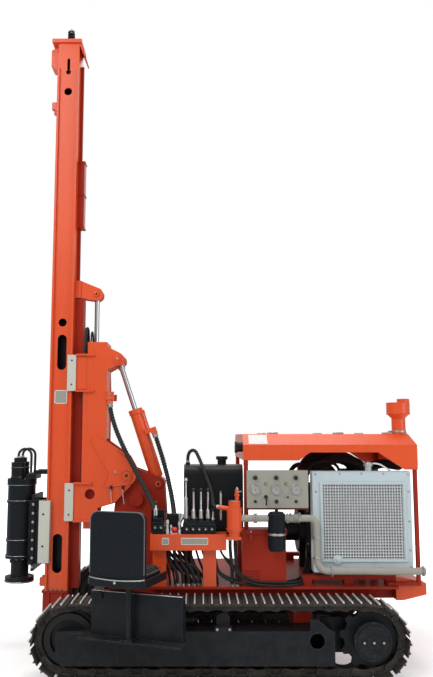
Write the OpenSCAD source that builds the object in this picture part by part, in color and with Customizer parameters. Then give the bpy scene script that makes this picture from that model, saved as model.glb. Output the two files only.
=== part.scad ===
/* [Undercarriage] */
// Width over the outer edges of both tracks
tracks_w = 2000; // [1800:10:2300]
// Width of one track shoe
shoe_w = 320; // [280:10:380]
// Distance from pin to pin of the track chain
link_pitch = 135; // [125:1:145]
// Shoes on each track
shoe_count = 46; // [42:1:50]
// Teeth that would fit round a whole drive sprocket
sprocket_teeth = 11; // [10:1:12]
// Height of the grousers above the shoe plate
grouser_h = 22; // [12:1:30]
// Thickness of a grouser bar
grouser_t = 9; // [6:1:14]
// Thickness of the shoe plate
shoe_t = 10; // [6:1:16]
// Height of a chain link
link_h = 65; // [55:1:75]
// Thickness of one row of chain links
link_t = 34; // [24:1:40]
// Gap between the two rows of links
link_gap = 56; // [48:1:64]
// Radius of the bottom rollers
roller_r = 62; // [50:1:68]
// Bottom rollers under each track frame
roller_count = 5; // [3:1:6]
// Plate thickness of the track frame walls
frame_wall = 14; // [8:1:20]
// Height of the track frame's top face above the ground
frame_top_z = 388; // [370:2:400]
// Radius of the protruding final drive housing
drive_hub_r = 146; // [120:2:160]

/* [Chassis] */
// Height of the chassis beams' underside above the ground
rail_bottom_z = 535; // [500:5:545]
// Height of a chassis side beam
rail_h = 105; // [80:5:120]
// Width of a chassis side beam
rail_w = 90; // [60:5:120]
// Distance between the middles of the side beams
rail_span = 960; // [860:10:1040]
// Thickness of the deck plate
deck_t = 20; // [10:1:30]
// Height of the engine subframe above the deck
subframe_h = 74; // [50:2:90]
// Distance of the chassis' front end ahead of the track's middle
chassis_front = 1010; // [980:10:1100]
// Distance of the chassis' rear end behind the track's middle
chassis_rear = 1460; // [1400:10:1520]
// Length of the rear counterweight
counterweight_l = 250; // [160:10:300]

/* [Mast] */
// Length of the mast beam
mast_len = 5190; // [4400:10:5600]
// Height of the mast beam's lower end above the ground
mast_low_z = 511; // [480:1:560]
// Depth of the mast beam from front to rear
mast_d = 205; // [180:1:240]
// Width of the mast beam across
mast_w = 240; // [200:2:280]
// Plate thickness of the mast beam
mast_wall = 12; // [8:1:16]
// Width across the guide flanges of the mast
flange_w = 294; // [270:2:330]
// Thickness of the guide flanges
flange_t = 20; // [14:1:26]
// Height of the mast foot under the beam
foot_h = 261; // [180:1:300]

/* [Mast pivot and tilt cylinder] */
// Distance of the mast pivot ahead of the track's middle
pivot_ahead = 820; // [800:1:840]
// Height of the mast pivot above the ground
pivot_z = 1522; // [1480:1:1560]
// Distance from the mast pivot forward to the mast's rear face
mast_setback = 515; // [480:1:560]
// Radius of the mast pivot pin
pivot_pin_r = 40; // [30:1:50]
// Distance of the tilt cylinder's base pin behind the mast pivot
tilt_base_back = 284; // [270:1:300]
// Distance of the tilt cylinder's base pin below the mast pivot
tilt_base_drop = 77; // [60:1:90]
// Distance of the tilt cylinder's rod pin ahead of the mast pivot
tilt_eye_ahead = 98; // [85:1:110]
// Height of the tilt cylinder's rod pin above the mast pivot
tilt_eye_rise = 1062; // [1040:1:1090]
// Radius of the tilt cylinder's barrel
tilt_barrel_r = 60; // [50:1:66]
// Radius of the tilt cylinder's rod
tilt_rod_r = 24; // [18:1:32]
// Length of the tilt cylinder from its base pin to its gland
tilt_barrel_l = 715; // [690:1:735]
// Radius of the pins of the tilt cylinder
tilt_pin_r = 25; // [18:1:30]

/* [Slide frame] */
// Width over the side plates of the slide frame
carrier_w = 320; // [304:2:360]
// Thickness of the slide frame's side plates
carrier_t = 25; // [15:1:30]
// Radius of the boss round the mast pivot
pivot_boss_r = 92; // [80:1:100]
// Radius of the lift cylinder's barrel
lift_barrel_r = 48; // [40:1:55]
// Radius of the lift cylinder's rod
lift_rod_r = 23; // [18:1:28]
// Distance of the lift cylinder behind the mast's rear face
lift_back = 200; // [190:1:210]
// Thickness of the doubler plates round the mast pivot
gusset_t = 8; // [5:1:12]
// How far the mast slides up in its frame
lift_up = 600; // [500:10:640]
// How far the mast slides down in its frame
lift_down = 150; // [100:5:160]

/* [Drill head] */
// Distance of the spindle ahead of the mast's front face
spindle_ahead = 260; // [250:1:290]
// Radius of the gearbox
gearbox_r = 132; // [120:1:150]
// Radius of the spindle
spindle_r = 80; // [60:1:90]
// Radius of the spindle's flange
spindle_flange_r = 130; // [115:1:145]
// Radius of the bore through the spindle's flange
spindle_bore_r = 38; // [25:1:45]
// Height of the spindle flange's underside above the ground
spindle_low_z = 567; // [560:1:600]

/* [Operator station] */
// Angle by which the operator's platform is turned out
seat_turn = 20; // [0:1:25]
// Width of the seat
seat_w = 440; // [400:5:480]
// Height of the seat's backrest
back_h = 440; // [380:5:480]
// Length of the control bench
bench_l = 620; // [560:5:660]
// Depth of the seat from front to rear
seat_d = 420; // [380:5:440]
// Width of the control bench across the machine
bench_w = 170; // [150:5:180]
// Depth of the control bench's box
bench_d = 128; // [110:2:140]
// Height of the control bench's top face above the ground
bench_top_z = 1084; // [1050:2:1120]

/* [Engine bay] */
// Width over the hood
hood_w = 1340; // [1300:10:1400]
// Height of the hood's roof above the ground
hood_top_z = 1893; // [1850:1:1940]
// Thickness of the hood's sheet
hood_t = 6; // [4:1:10]
// Width of the radiator from side to side
radiator_w = 813; // [780:1:840]
// Height of the radiator
radiator_h = 810; // [780:1:830]
// Thickness of the radiator's casing
radiator_d = 120; // [90:1:140]
// Openings along one row of the radiator's grille
grille_columns = 17; // [8:1:20]
// Rows of openings in the radiator's grille
grille_rows = 13; // [8:1:16]
// Radius of the air pipe
pipe_r = 28; // [22:1:32]
// Length of the oil tank along the machine
tank_l = 505; // [460:5:520]
// Width of the oil tank across the machine
tank_w = 370; // [320:10:380]
// Height of the oil tank above its posts
tank_h = 607; // [540:1:640]
// Length of the engine block
engine_l = 620; // [560:10:640]
// Width of the engine block
engine_w = 460; // [400:10:560]
// Radius of the canister on the air pipe
canister_r = 70; // [60:1:76]
// Radius of the lubricator
lubricator_r = 61; // [50:1:66]

/* [Hoses] */
// Radius of the two hoses that bend when the mast tilts
feed_hose_r = 22; // [16:1:24]
// Radius of the fixed hoses
small_hose_r = 15; // [10:1:18]

/* [Fits] */
// Gap between a guide pad and the flange that it slides on
slide_gap = 0.8; // [0.5:0.1:1.5]
// Radial play of a pin in its bore
pin_play = 0.05; // [0.02:0.01:0.09]
// Gap left between pieces that pass each other
pass_gap = 6; // [5:1:10]
// Gap under a piece that rests on another
seat_gap = 0.3; // [0.1:0.1:0.5]

/* [Hidden] */
$fn = 48;
big = 4000;

// Colours as the photograph shows them
orange = [0.90, 0.33, 0.16];
red = [0.62, 0.16, 0.12];
navy = [0.13, 0.15, 0.18];
black = [0.06, 0.06, 0.07];
cream = [0.84, 0.83, 0.75];
silver = [0.77, 0.80, 0.82];
grey = [0.60, 0.60, 0.56];
chrome = [0.85, 0.86, 0.88];

// Undercarriage, worked out from the chain
pin_r = link_pitch / (2 * sin(180 / sprocket_teeth));
chain_l = shoe_count * link_pitch;
wheelbase = (chain_l - 2 * PI * pin_r) / 2;
link_up = link_h / 2;
axle_z = pin_r + link_up + shoe_t + grouser_h;
track_y = (tracks_w - shoe_w) / 2;
frame_outer_y = tracks_w / 2;
frame_inner_y = tracks_w / 2 - shoe_w + 46;
chain_in_r = pin_r * cos(180 / sprocket_teeth) - link_up;
bottom_inner_z = axle_z - pin_r + link_up;
top_inner_z = axle_z + pin_r - link_up;
frame_low_z = 135;
frame_front_x = -wheelbase / 2 - 86;
frame_rear_x = wheelbase / 2 - 300;

// Chassis levels
rail_top_z = rail_bottom_z + rail_h;
deck_z = rail_top_z + deck_t;
subframe_z = deck_z + subframe_h;
deck_side_y = hood_w / 2 + 30;
subframe_x = 690;
cross_x = [-chassis_front + 390, subframe_x - 20];
pipe_y = -deck_side_y - 90;
hood_x0 = 203;
hood_x1 = chassis_rear + 198;
hood_low_z = hood_top_z - 293;
radiator_x = hood_x0 + 568;
radiator_z = deck_z + 116;
radiator_rear_y = -deck_side_y + radiator_d;
pipe_z = radiator_z + 439;
post_y = hood_w / 2 - hood_t - seat_gap;
box_top_z = deck_z + 455;
panel_low_z = hood_top_z - 602;
cover_t = 6;
carrier_roller_x = 24;

// Mast places
pivot_x = -pivot_ahead;
mast_rear_x = pivot_x - mast_setback;
mast_front_x = mast_rear_x - mast_d;
mast_top_z = mast_low_z + mast_len;
tilt_base = [pivot_x + tilt_base_back, pivot_z - tilt_base_drop];
tilt_eye = [pivot_x - tilt_eye_ahead, pivot_z + tilt_eye_rise];
tilt_l = norm(tilt_eye - tilt_base);
tilt_lean = atan2(tilt_base[0] - tilt_eye[0], tilt_eye[1] - tilt_base[1]);
carrier_top_z = pivot_z + 1217;
lift_x = mast_rear_x + lift_back;
lift_low_z = carrier_top_z - lift_up - lift_down - 250;
lift_bore_z = lift_low_z + 70;
rail_back_x = mast_rear_x + 82;
arm_x = mast_rear_x + 41;
back_x = mast_rear_x + 327;
cheek_inner_y = 62;
cheek_t = 50;
ear_gap = 72;

// Drill head places
spindle_x = mast_front_x - spindle_ahead;
head_top_z = spindle_low_z + 921;
plate_x = mast_front_x - 100;
motor_x = spindle_x - 20;

// Bench, tank and the pieces on the air pipe
bench_x = pivot_x + 259;
bench_y = -deck_side_y - 60;
bench_low_z = bench_top_z - bench_d;
lever_y = bench_y + 70;
tank_x = hood_x0 - 497;
tank_y = -deck_side_y + 180;
tank_z = bench_top_z - 64;
tank_top_z = tank_z + tank_h;
lubricator_x = bench_x + bench_l + 63;
canister_x = hood_x0 + 259;

// Both ends of each bending hose, and its points in between as shares of the way along each axis
function on_way(a, b, shares) = [for (s = shares) [for (k = [0:2]) a[k] + s[k] * (b[k] - a[k])]];
tilt_port = [tilt_barrel_r + 50, 440];
front_start = [back_x + 28, 10 - carrier_w / 2, pivot_z + 648];
front_end = [bench_x + 31, bench_y + bench_w + 20, bench_top_z + 131];
front_points = on_way(front_start, front_end, [
    [0, -0, -0], [0.028, 0.006, 0.087], [0.079, 0.019, 0.175], [0.149, 0.038, 0.264],
    [0.233, 0.062, 0.353], [0.327, 0.091, 0.441], [0.425, 0.124, 0.528], [0.524, 0.162, 0.612],
    [0.622, 0.208, 0.692], [0.715, 0.262, 0.767], [0.8, 0.326, 0.836], [0.874, 0.407, 0.896],
    [0.934, 0.509, 0.946], [0.977, 0.638, 0.981], [1, 0.8, 1], [1, 1, 1]
]);
rear_start = [
    tilt_base[0] + tilt_port[0] * cos(tilt_lean) - tilt_port[1] * sin(tilt_lean), -tilt_barrel_r - 35,
    tilt_base[1] + tilt_port[0] * sin(tilt_lean) + tilt_port[1] * cos(tilt_lean)
];
rear_end = [bench_x + 186, bench_y + bench_w + 20, bench_top_z + 96];
rear_points = on_way(rear_start, rear_end, [
    [0, -0, -0], [0.124, 0, 0.101], [0.252, 0.011, 0.206], [0.379, 0.034, 0.313], [0.498, 0.069, 0.42],
    [0.606, 0.117, 0.525], [0.701, 0.179, 0.626], [0.785, 0.254, 0.72], [0.855, 0.342, 0.805],
    [0.912, 0.445, 0.878], [0.956, 0.562, 0.936], [0.985, 0.693, 0.978], [1, 0.839, 1], [1, 1, 1]
]);
tank_start = [tank_x + 32, tank_y + 140, tank_top_z + 20];
tank_end = [lubricator_x - 127, pipe_y + 38, pipe_z + 87];
tank_points = on_way(tank_start, tank_end, [
    [0, -0, -0], [0, -0, -0.125], [0.039, 0.022, -0.235], [0.14, 0.065, -0.304],
    [0.257, 0.129, -0.281], [0.342, 0.215, -0.177], [0.436, 0.328, -0.023], [0.537, 0.444, 0.165],
    [0.654, 0.556, 0.391], [0.763, 0.677, 0.614], [0.817, 0.806, 0.809], [0.837, 0.919, 0.936],
    [0.889, 0.977, 0.987], [1, 1, 1]
]);

// The row's origin lies under the middle of the whole rig
reach_front = spindle_x - max(gearbox_r, spindle_flange_r);
reach_rear = chassis_rear + counterweight_l;
seat_pivot = [-629, -tracks_w / 2 - 205];
platform_l = 740;
platform_t = 60;
ledge_l = 850;
ledge_d = 170;
reach_side = seat_pivot[1] - (ledge_l / 2 - 30) * sin(seat_turn) - (ledge_d - platform_t) * cos(seat_turn);
mid_x = (reach_front + reach_rear) / 2;
mid_y = (reach_side + tracks_w / 2) / 2;

module placed() { translate([-mid_x, -mid_y, 0]) children(); }
module slab(x0, x1, y0, y1, z0, z1) { translate([x0, y0, z0]) cube([x1 - x0, y1 - y0, z1 - z0]); }
module both_sides() { children(); mirror([0, 1, 0]) children(); }
module side_plate(y0, y1) { translate([0, y1, 0]) rotate([90, 0, 0]) linear_extrude(y1 - y0) children(); }
module rod_y(x, z, r, y0, y1) { translate([x, y1, z]) rotate([90, 0, 0]) cylinder(r = r, h = y1 - y0); }
module rod_x(y, z, r, x0, x1) { translate([x0, y, z]) rotate([0, 90, 0]) cylinder(r = r, h = x1 - x0); }
module rod_z(x, y, r, z0, z1) { translate([x, y, z0]) cylinder(r = r, h = z1 - z0); }
module disc(at, r) { translate(at) circle(r = r); }

// A round bar from one point to another
module bar(a, b, r) {
    d = b - a;
    translate(a) rotate([0, acos(d[2] / norm(d)), atan2(d[1], d[0])]) cylinder(r = r, h = norm(d));
}

// A hose along points, its rings square to it; across is a direction that the hose never takes
module hose(points, r, across) {
    sides = 8;
    last = len(points) - 1;
    rings = [for (i = [0:last])
        let (d = points[min(i + 1, last)] - points[max(i - 1, 0)], u = cross(d, across) / norm(cross(d, across)),
             v = cross(d, u) / norm(d))
            for (k = [0:sides - 1]) points[i] + r * (cos(k * 360 / sides) * u + sin(k * 360 / sides) * v)];
    walls = [for (i = [0:last - 1], k = [0:sides - 1]) let (a = i * sides, n = (k + 1) % sides)
        [a + k, a + sides + k, a + sides + n, a + n]];
    polyhedron(rings, concat(
        walls, [[for (k = [0:sides - 1]) k]], [[for (k = [0:sides - 1]) last * sides + sides - 1 - k]]
    ), convexity = 6);
}

// A point of the chain's pin line at a distance s along it, seen from the side with the axles level
function pin_line(s) =
    let (t = (s + chain_l) % chain_l, half = PI * pin_r)
    t < wheelbase ? [t - wheelbase / 2, pin_r]
    : t < wheelbase + half
        ? let (a = 90 - (t - wheelbase) / pin_r * 180 / PI)
            [wheelbase / 2 + pin_r * cos(a), pin_r * sin(a)]
    : t < 2 * wheelbase + half ? [wheelbase / 2 - (t - wheelbase - half), -pin_r]
    : let (a = -90 - (t - 2 * wheelbase - half) / pin_r * 180 / PI)
        [-wheelbase / 2 + pin_r * cos(a), pin_r * sin(a)];

// Shoe k stands on the chord between two pins: u runs along it and v outwards
function shoe_point(k, u, v) =
    let (a = pin_line(k * link_pitch), b = pin_line((k + 1) * link_pitch), d = (b - a) / norm(b - a))
    (a + b) / 2 + u * d + v * [-d[1], d[0]];

// A point at height v over pin k, on the line that halves the angle of its two links
function joint_point(k, v) =
    let (a = shoe_point(k - 1, link_pitch / 2, v), b = shoe_point(k, -link_pitch / 2, v)) (a + b) / 2;

// Two grouser bars on each shoe, each as [place along the shoe, height] corners
plate_v = link_up + shoe_t;
bar_u = link_pitch / 4;
grouser_profile = [
    [-bar_u - grouser_t / 2, plate_v], [-bar_u - grouser_t / 2, plate_v + grouser_h],
    [-bar_u + grouser_t / 2, plate_v + grouser_h], [-bar_u + grouser_t / 2, plate_v],
    [bar_u - grouser_t / 2, plate_v], [bar_u - grouser_t / 2, plate_v + grouser_h],
    [bar_u + grouser_t / 2, plate_v + grouser_h], [bar_u + grouser_t / 2, plate_v]
];

module shoe_loop() {
    difference() {
        polygon([for (k = [0:shoe_count - 1], q = grouser_profile) shoe_point(k, q[0], q[1])]);
        polygon([for (k = [0:shoe_count - 1]) joint_point(k, link_up)]);
    }
}

module link_loop() {
    waist_v = -link_up;
    difference() {
        polygon([for (k = [0:shoe_count - 1]) joint_point(k, link_up + 1)]);
        polygon([for (k = [0:shoe_count - 1], u = [-0.3, 0.3]) shoe_point(k, u * link_pitch, waist_v)]);
    }
}

// One endless track as it lies round its wheels, at the middle of the left side
module track() {
    translate([0, -track_y, axle_z]) {
        side_plate(-shoe_w / 2, shoe_w / 2) shoe_loop();
        for (side = [-1, 1])
            translate([0, side * (link_gap + link_t) / 2, 0]) side_plate(-link_t / 2, link_t / 2) link_loop();
    }
}

module track_left() color(black) placed() track();
module track_right() color(black) placed() mirror([0, 1, 0]) track();

// The frame is an upturned channel with the idler's slot at its front and the drive's arm at its rear
module track_frame() {
    arm_y0 = -frame_inner_y - 36;
    slot_x = -wheelbase / 2 + chain_in_r + 40;
    wall_y = -frame_outer_y + cover_t;
    port = [frame_rear_x - 135, frame_top_z - 70];
    port_r = 57;
    difference() {
        union() {
            side_plate(wall_y, -frame_outer_y + frame_wall) frame_outline();
            side_plate(-frame_inner_y - frame_wall, -frame_inner_y) frame_outline();
            slab(frame_front_x, frame_rear_x, wall_y, -frame_inner_y, frame_top_z - frame_wall, frame_top_z);
            slab(frame_rear_x - frame_wall, frame_rear_x, wall_y, -frame_inner_y, frame_low_z, frame_top_z);
            side_plate(arm_y0, -frame_inner_y) {
                translate([frame_rear_x - 60, frame_low_z + 35])
                    square([wheelbase / 2 - frame_rear_x + 60, 2 * (axle_z - frame_low_z - 35)]);
                disc([wheelbase / 2, axle_z], axle_z - frame_low_z - 35);
            }
            // Cover of the track's tightener, rim of the round port and sloping guard behind it
            side_plate(-frame_outer_y, wall_y + 1) cover_outline();
            rod_y(port[0], port[1], port_r + 10, -frame_outer_y, wall_y + 1);
            side_plate(wall_y, wall_y + 34) polygon([
                [frame_rear_x - 186, frame_top_z - 2], [frame_rear_x - 186, frame_top_z + 88],
                [frame_rear_x - 128, frame_top_z + 88], [frame_rear_x - 15, frame_top_z - 2]
            ]);
        }
        slab(frame_front_x - 10, slot_x, -track_y - 66, -track_y + 66, frame_low_z, frame_top_z + 10);
        rod_y(port[0], port[1], port_r, -frame_outer_y - 1, -frame_outer_y + frame_wall + 1);
    }
    // Arched bracket of the carrier roller on its bolted block
    slab(carrier_roller_x - 65, carrier_roller_x + 65, wall_y, -track_y - 70, frame_top_z - 2, frame_top_z + 30);
    side_plate(-track_y - 95, -track_y - 70) {
        translate([carrier_roller_x - 50, frame_top_z]) square([100, top_inner_z - 50 - frame_top_z]);
        disc([carrier_roller_x, top_inner_z - 50], 50);
    }
}

module frame_outline() {
    polygon([
        [frame_front_x, frame_low_z + 60], [frame_front_x + 50, frame_low_z], [frame_rear_x, frame_low_z],
        [frame_rear_x, frame_top_z], [frame_front_x + 20, frame_top_z], [frame_front_x, frame_top_z - 20]
    ]);
}

// Cover plate over the front of the frame's outer wall
module cover_outline() {
    end_x = frame_front_x + 479;
    polygon([
        [frame_front_x + 13, frame_low_z + 66], [frame_front_x + 60, frame_low_z + 14],
        [end_x, frame_low_z + 14], [end_x, frame_top_z - 10], [frame_front_x + 24, frame_top_z - 10],
        [frame_front_x + 13, frame_top_z - 22]
    ]);
}

module track_frame_left() color(navy) placed() track_frame();
module track_frame_right() color(navy) placed() mirror([0, 1, 0]) track_frame();

// Tooth outline of the sprocket, with a root between each pair of teeth
module sprocket_outline() {
    polygon([for (i = [0:sprocket_teeth - 1], q = [[-0.30, -34], [-0.14, 2], [0.14, 2], [0.30, -34]])
        let (a = 90 + (i + 0.5 + q[0]) * 360 / sprocket_teeth, r = pin_r + q[1]) [r * cos(a), r * sin(a)]]);
}

module final_drive() {
    tooth_w = link_gap - 6;
    translate([wheelbase / 2, 0, axle_z]) {
        side_plate(-track_y - tooth_w / 2, -track_y + tooth_w / 2) sprocket_outline();
        rod_y(0, 0, drive_hub_r, -tracks_w / 2 + 36, -track_y);
        rod_y(0, 0, drive_hub_r - 26, -tracks_w / 2 + 20, -tracks_w / 2 + 37);
        rod_y(0, 0, drive_hub_r - 98, -tracks_w / 2 + 8, -tracks_w / 2 + 21);
        rod_y(0, 0, drive_hub_r - 22, -track_y, -frame_inner_y - 36);
        rod_y(0, 0, 88, -frame_inner_y, -frame_inner_y + 120);
    }
}

module final_drives() color(navy) placed() both_sides() final_drive();

module idler() {
    rim_w = 2 * link_t + link_gap - 6;
    flange_r = chain_in_r + 22;
    translate([-wheelbase / 2, -track_y, axle_z]) difference() {
        union() {
            rod_y(0, 0, chain_in_r - seat_gap, -rim_w / 2, rim_w / 2);
            rod_y(0, 0, flange_r, -link_gap / 2 + 4, link_gap / 2 - 4);
            rod_y(0, 0, 42, -shoe_w / 2 + frame_wall, track_y - frame_inner_y - frame_wall);
            rod_y(0, 0, 64, -rim_w / 2 - 12, rim_w / 2 + 12);
        }
        for (side = [-1, 1])
            rotate([90, 0, 0]) rotate_extrude()
                translate([70, side > 0 ? 22 : -rim_w / 2 - 1]) square([chain_in_r - 120, rim_w / 2 - 21]);
    }
}

module idlers() color(black) placed() both_sides() idler();

module roller_set() {
    first_x = frame_front_x + 390;
    step = (frame_rear_x - 110 - first_x) / (roller_count - 1);
    wide = 2 * link_t + link_gap - 6;
    for (i = [0:roller_count - 1])
        translate([first_x + i * step, -track_y, bottom_inner_z + roller_r + seat_gap]) {
            rod_y(0, 0, roller_r, -wide / 2, wide / 2);
            rod_y(0, 0, 24, -shoe_w / 2 + frame_wall, track_y - frame_inner_y - frame_wall);
        }
    translate([carrier_roller_x, -track_y, top_inner_z - 50 - seat_gap]) {
        rod_y(0, 0, 50, -wide / 2, wide / 2);
        rod_y(0, 0, 22, -70, -wide / 2);
    }
}

module rollers() color(black) placed() both_sides() roller_set();

// Side beams, cross beams to the track frames, deck plates and the engine subframe
module chassis() color(red) placed() {
    beam_y = hood_w / 2 - 60;
    both_sides() {
        slab(-chassis_front, chassis_rear, -(rail_span + rail_w) / 2, -(rail_span - rail_w) / 2,
             rail_bottom_z, rail_top_z);
        slab(subframe_x, chassis_rear, -beam_y, -beam_y + 80, subframe_z - 34, subframe_z);
        for (x = [subframe_x, (subframe_x + chassis_rear) / 2 - 40, chassis_rear - 80])
            slab(x, x + 80, -beam_y, -beam_y + 80, deck_z, subframe_z);
    }
    for (x = cross_x) slab(x - 75, x + 75, -frame_inner_y, frame_inner_y, frame_top_z - 43, rail_bottom_z);
    for (x = [-chassis_front, 0, chassis_rear - 90])
        slab(x, x + 90, -rail_span / 2, rail_span / 2, rail_bottom_z, rail_top_z);
    slab(bench_x + 161, chassis_rear, -deck_side_y, deck_side_y - 60, rail_top_z, deck_z);
    slab(bench_x - 19, bench_x + 161, -deck_side_y, -rail_span / 2 - 40, rail_top_z, deck_z);
}

// Gussets at the outer sides of the cross beams
module beam_gussets() color(red) placed() both_sides()
    for (g = [[cross_x[0] - 75, -106], [cross_x[1] + 75, 106]])
        side_plate(-rail_span / 2 - 8, -rail_span / 2 + 8) polygon([
            [g[0], rail_bottom_z], [g[0], rail_bottom_z - 110], [g[0] + g[1], rail_bottom_z]
        ]);

// Posts under the oil tank
module tank_stand() color(red) placed() {
    leg = 40;
    for (x = [tank_x + 10, tank_x + tank_l - leg - 10], y = [tank_y + 10, tank_y + tank_w - leg - 10])
        slab(x, x + leg, y, y + leg, deck_z, tank_z);
}

module counterweight() color(orange) placed() {
    side_plate(60 - hood_w / 2, hood_w / 2 - 60) polygon([
        [chassis_rear, rail_bottom_z], [chassis_rear + 60, rail_bottom_z],
        [reach_rear, rail_bottom_z + 45], [reach_rear, rail_bottom_z + 135], [chassis_rear + 45, deck_z + 60],
        [chassis_rear, deck_z + 60]
    ]);
    // Towing lug with its eye below the block
    difference() {
        slab(chassis_rear + 10, chassis_rear + 50, -30, 30, rail_bottom_z - 110, rail_bottom_z);
        rod_x(0, rail_bottom_z - 65, 22, chassis_rear, chassis_rear + 60);
    }
}

// Two cheeks stand on the chassis and carry the mast pivot and the tilt cylinder's base pin
module mast_seat() color(red) placed() {
    outer = cheek_inner_y + cheek_t;
    difference() {
        union() {
            both_sides() side_plate(-outer, -cheek_inner_y) {
                polygon([
                    [-chassis_front + 20, deck_z], [pivot_x - 88, pivot_z - 60], [pivot_x + 40, pivot_z + 78],
                    [tilt_base[0] + 20, tilt_base[1] + 60], [tilt_base[0] + 58, tilt_base[1] - 20], [-420, deck_z]
                ]);
                disc([pivot_x, pivot_z], pivot_boss_r - 4);
                disc(tilt_base, 62);
            }
            both_sides() rod_y(tilt_base[0], tilt_base[1], tilt_pin_r + 22, -outer - 8, -outer + 1);
        }
        rod_y(pivot_x, pivot_z, pivot_pin_r, -big / 2, big / 2);
        rod_y(tilt_base[0], tilt_base[1], tilt_pin_r, -big / 2, big / 2);
    }
    slab(-chassis_front, bench_x + 161, -rail_span / 2 - 40, rail_span / 2 + 40, rail_top_z, deck_z);
    // Cross tube through both cheeks, and ribs along their feet
    rod_y(pivot_x + 91, pivot_z - 215, 60, -outer - 38, outer + 38);
    both_sides() for (x = [-chassis_front + 130, -chassis_front + 430])
        translate([x, 0, 0]) rotate([90, 0, 90]) linear_extrude(20)
            polygon([[-outer + 1, deck_z], [-outer + 1, deck_z + 260], [-outer - 150, deck_z]]);
}

// Pins of the mast pivot and of the tilt cylinder's base, each through both cheeks
module hinge_pins() color(chrome) placed() {
    rod_y(pivot_x, pivot_z, pivot_pin_r, -carrier_w / 2 - gusset_t - 12, carrier_w / 2 + gusset_t + 12);
    rod_y(tilt_base[0], tilt_base[1], tilt_pin_r, -cheek_inner_y - cheek_t - 14, cheek_inner_y + cheek_t + 14);
}

// Everything on the tilt cylinder's own line: z runs from the base pin to the rod pin
module on_tilt_line() { translate([tilt_base[0], 0, tilt_base[1]]) rotate([0, -tilt_lean, 0]) children(); }

module tilt_barrel() color(orange) placed() on_tilt_line() {
    bore_low = 90;
    port_x = tilt_port[0];
    port_z = tilt_port[1];
    difference() {
        union() {
            rod_z(0, 0, tilt_barrel_r, 60, tilt_barrel_l - 46);
            // Port block with the hose's nipple, and the pipe up to the gland
            slab(tilt_barrel_r / 2, port_x + 25, -118, -tilt_barrel_r / 2, port_z + 22, port_z + 62);
            rod_z(port_x, rear_start[1], feed_hose_r + 6, port_z, port_z + 23);
            rod_z(tilt_barrel_r + 12, -tilt_barrel_r / 2 - 12, 8, port_z + 61, tilt_barrel_l - 59);
            slab(20, tilt_barrel_r + 22, -tilt_barrel_r / 2 - 24, -tilt_barrel_r / 2,
                 tilt_barrel_l - 60, tilt_barrel_l - 30);
            rod_z(0, 0, tilt_barrel_r + 6, tilt_barrel_l - 46, tilt_barrel_l);
            rod_y(0, 0, 60, -cheek_inner_y + 1, cheek_inner_y - 1);
            slab(-45, 45, -40, 40, 20, 70);
        }
        rod_y(0, 0, tilt_pin_r + pin_play, -cheek_inner_y - 1, cheek_inner_y + 1);
        rod_z(0, 0, tilt_rod_r + pin_play, bore_low, tilt_barrel_l + 1);
    }
}

module tilt_rod() color(chrome) placed() on_tilt_line() {
    rod_z(0, 0, tilt_rod_r, tilt_barrel_l - 240, tilt_l - 40);
    rod_y(0, tilt_l, 48, -ear_gap / 2 + pass_gap, ear_gap / 2 - pass_gap);
    rod_z(0, 0, tilt_rod_r + 8, tilt_l - 90, tilt_l - 36);
}

// Side plate of the slide frame: guide arms forward, pivot boss low at the rear, rod ear high at the rear
module carrier_outline() {
    neck_x = mast_rear_x + 107;
    polygon([
        [neck_x + 37, carrier_top_z], [neck_x + 37, carrier_top_z - 121], [arm_x, carrier_top_z - 121],
        [arm_x, carrier_top_z - 453], [neck_x, carrier_top_z - 453], [neck_x, pivot_z - 67],
        [arm_x, pivot_z - 67], [arm_x, pivot_z - 402], [arm_x + 195, pivot_z - 402],
        [arm_x + 215, pivot_z - 290], [pivot_x - 104, pivot_z - 244],
        [pivot_x + 50, pivot_z - 77], [pivot_x + 77, pivot_z + 50], [pivot_x + 8, pivot_z + 171],
        [pivot_x - 101, pivot_z + 249], [back_x, pivot_z + 309], [back_x, pivot_z + 773],
        [back_x - 6, pivot_z + 960], [tilt_eye[0] - 20, tilt_eye[1] - 60],
        [tilt_eye[0] + 20, tilt_eye[1] + 55], [back_x - 10, tilt_eye[1] + 116],
        [back_x - 17, carrier_top_z]
    ]);
    disc([pivot_x, pivot_z], pivot_boss_r);
    disc(tilt_eye, 58);
}

// Doubler plate round the mast pivot, with a rounded end up front
module gusset_outline() {
    polygon([
        [pivot_x - 318, pivot_z + 288], [pivot_x - 256, pivot_z + 348], [pivot_x + 18, pivot_z + 133],
        [pivot_x + 62, pivot_z + 50], [pivot_x + 40, pivot_z - 60], [pivot_x - 20, pivot_z - 84],
        [pivot_x - 205, pivot_z - 106], [pivot_x - 157, pivot_z + 21]
    ]);
    disc([pivot_x, pivot_z], pivot_boss_r - 6);
    disc([pivot_x - 284, pivot_z + 315], 45);
}

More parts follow.
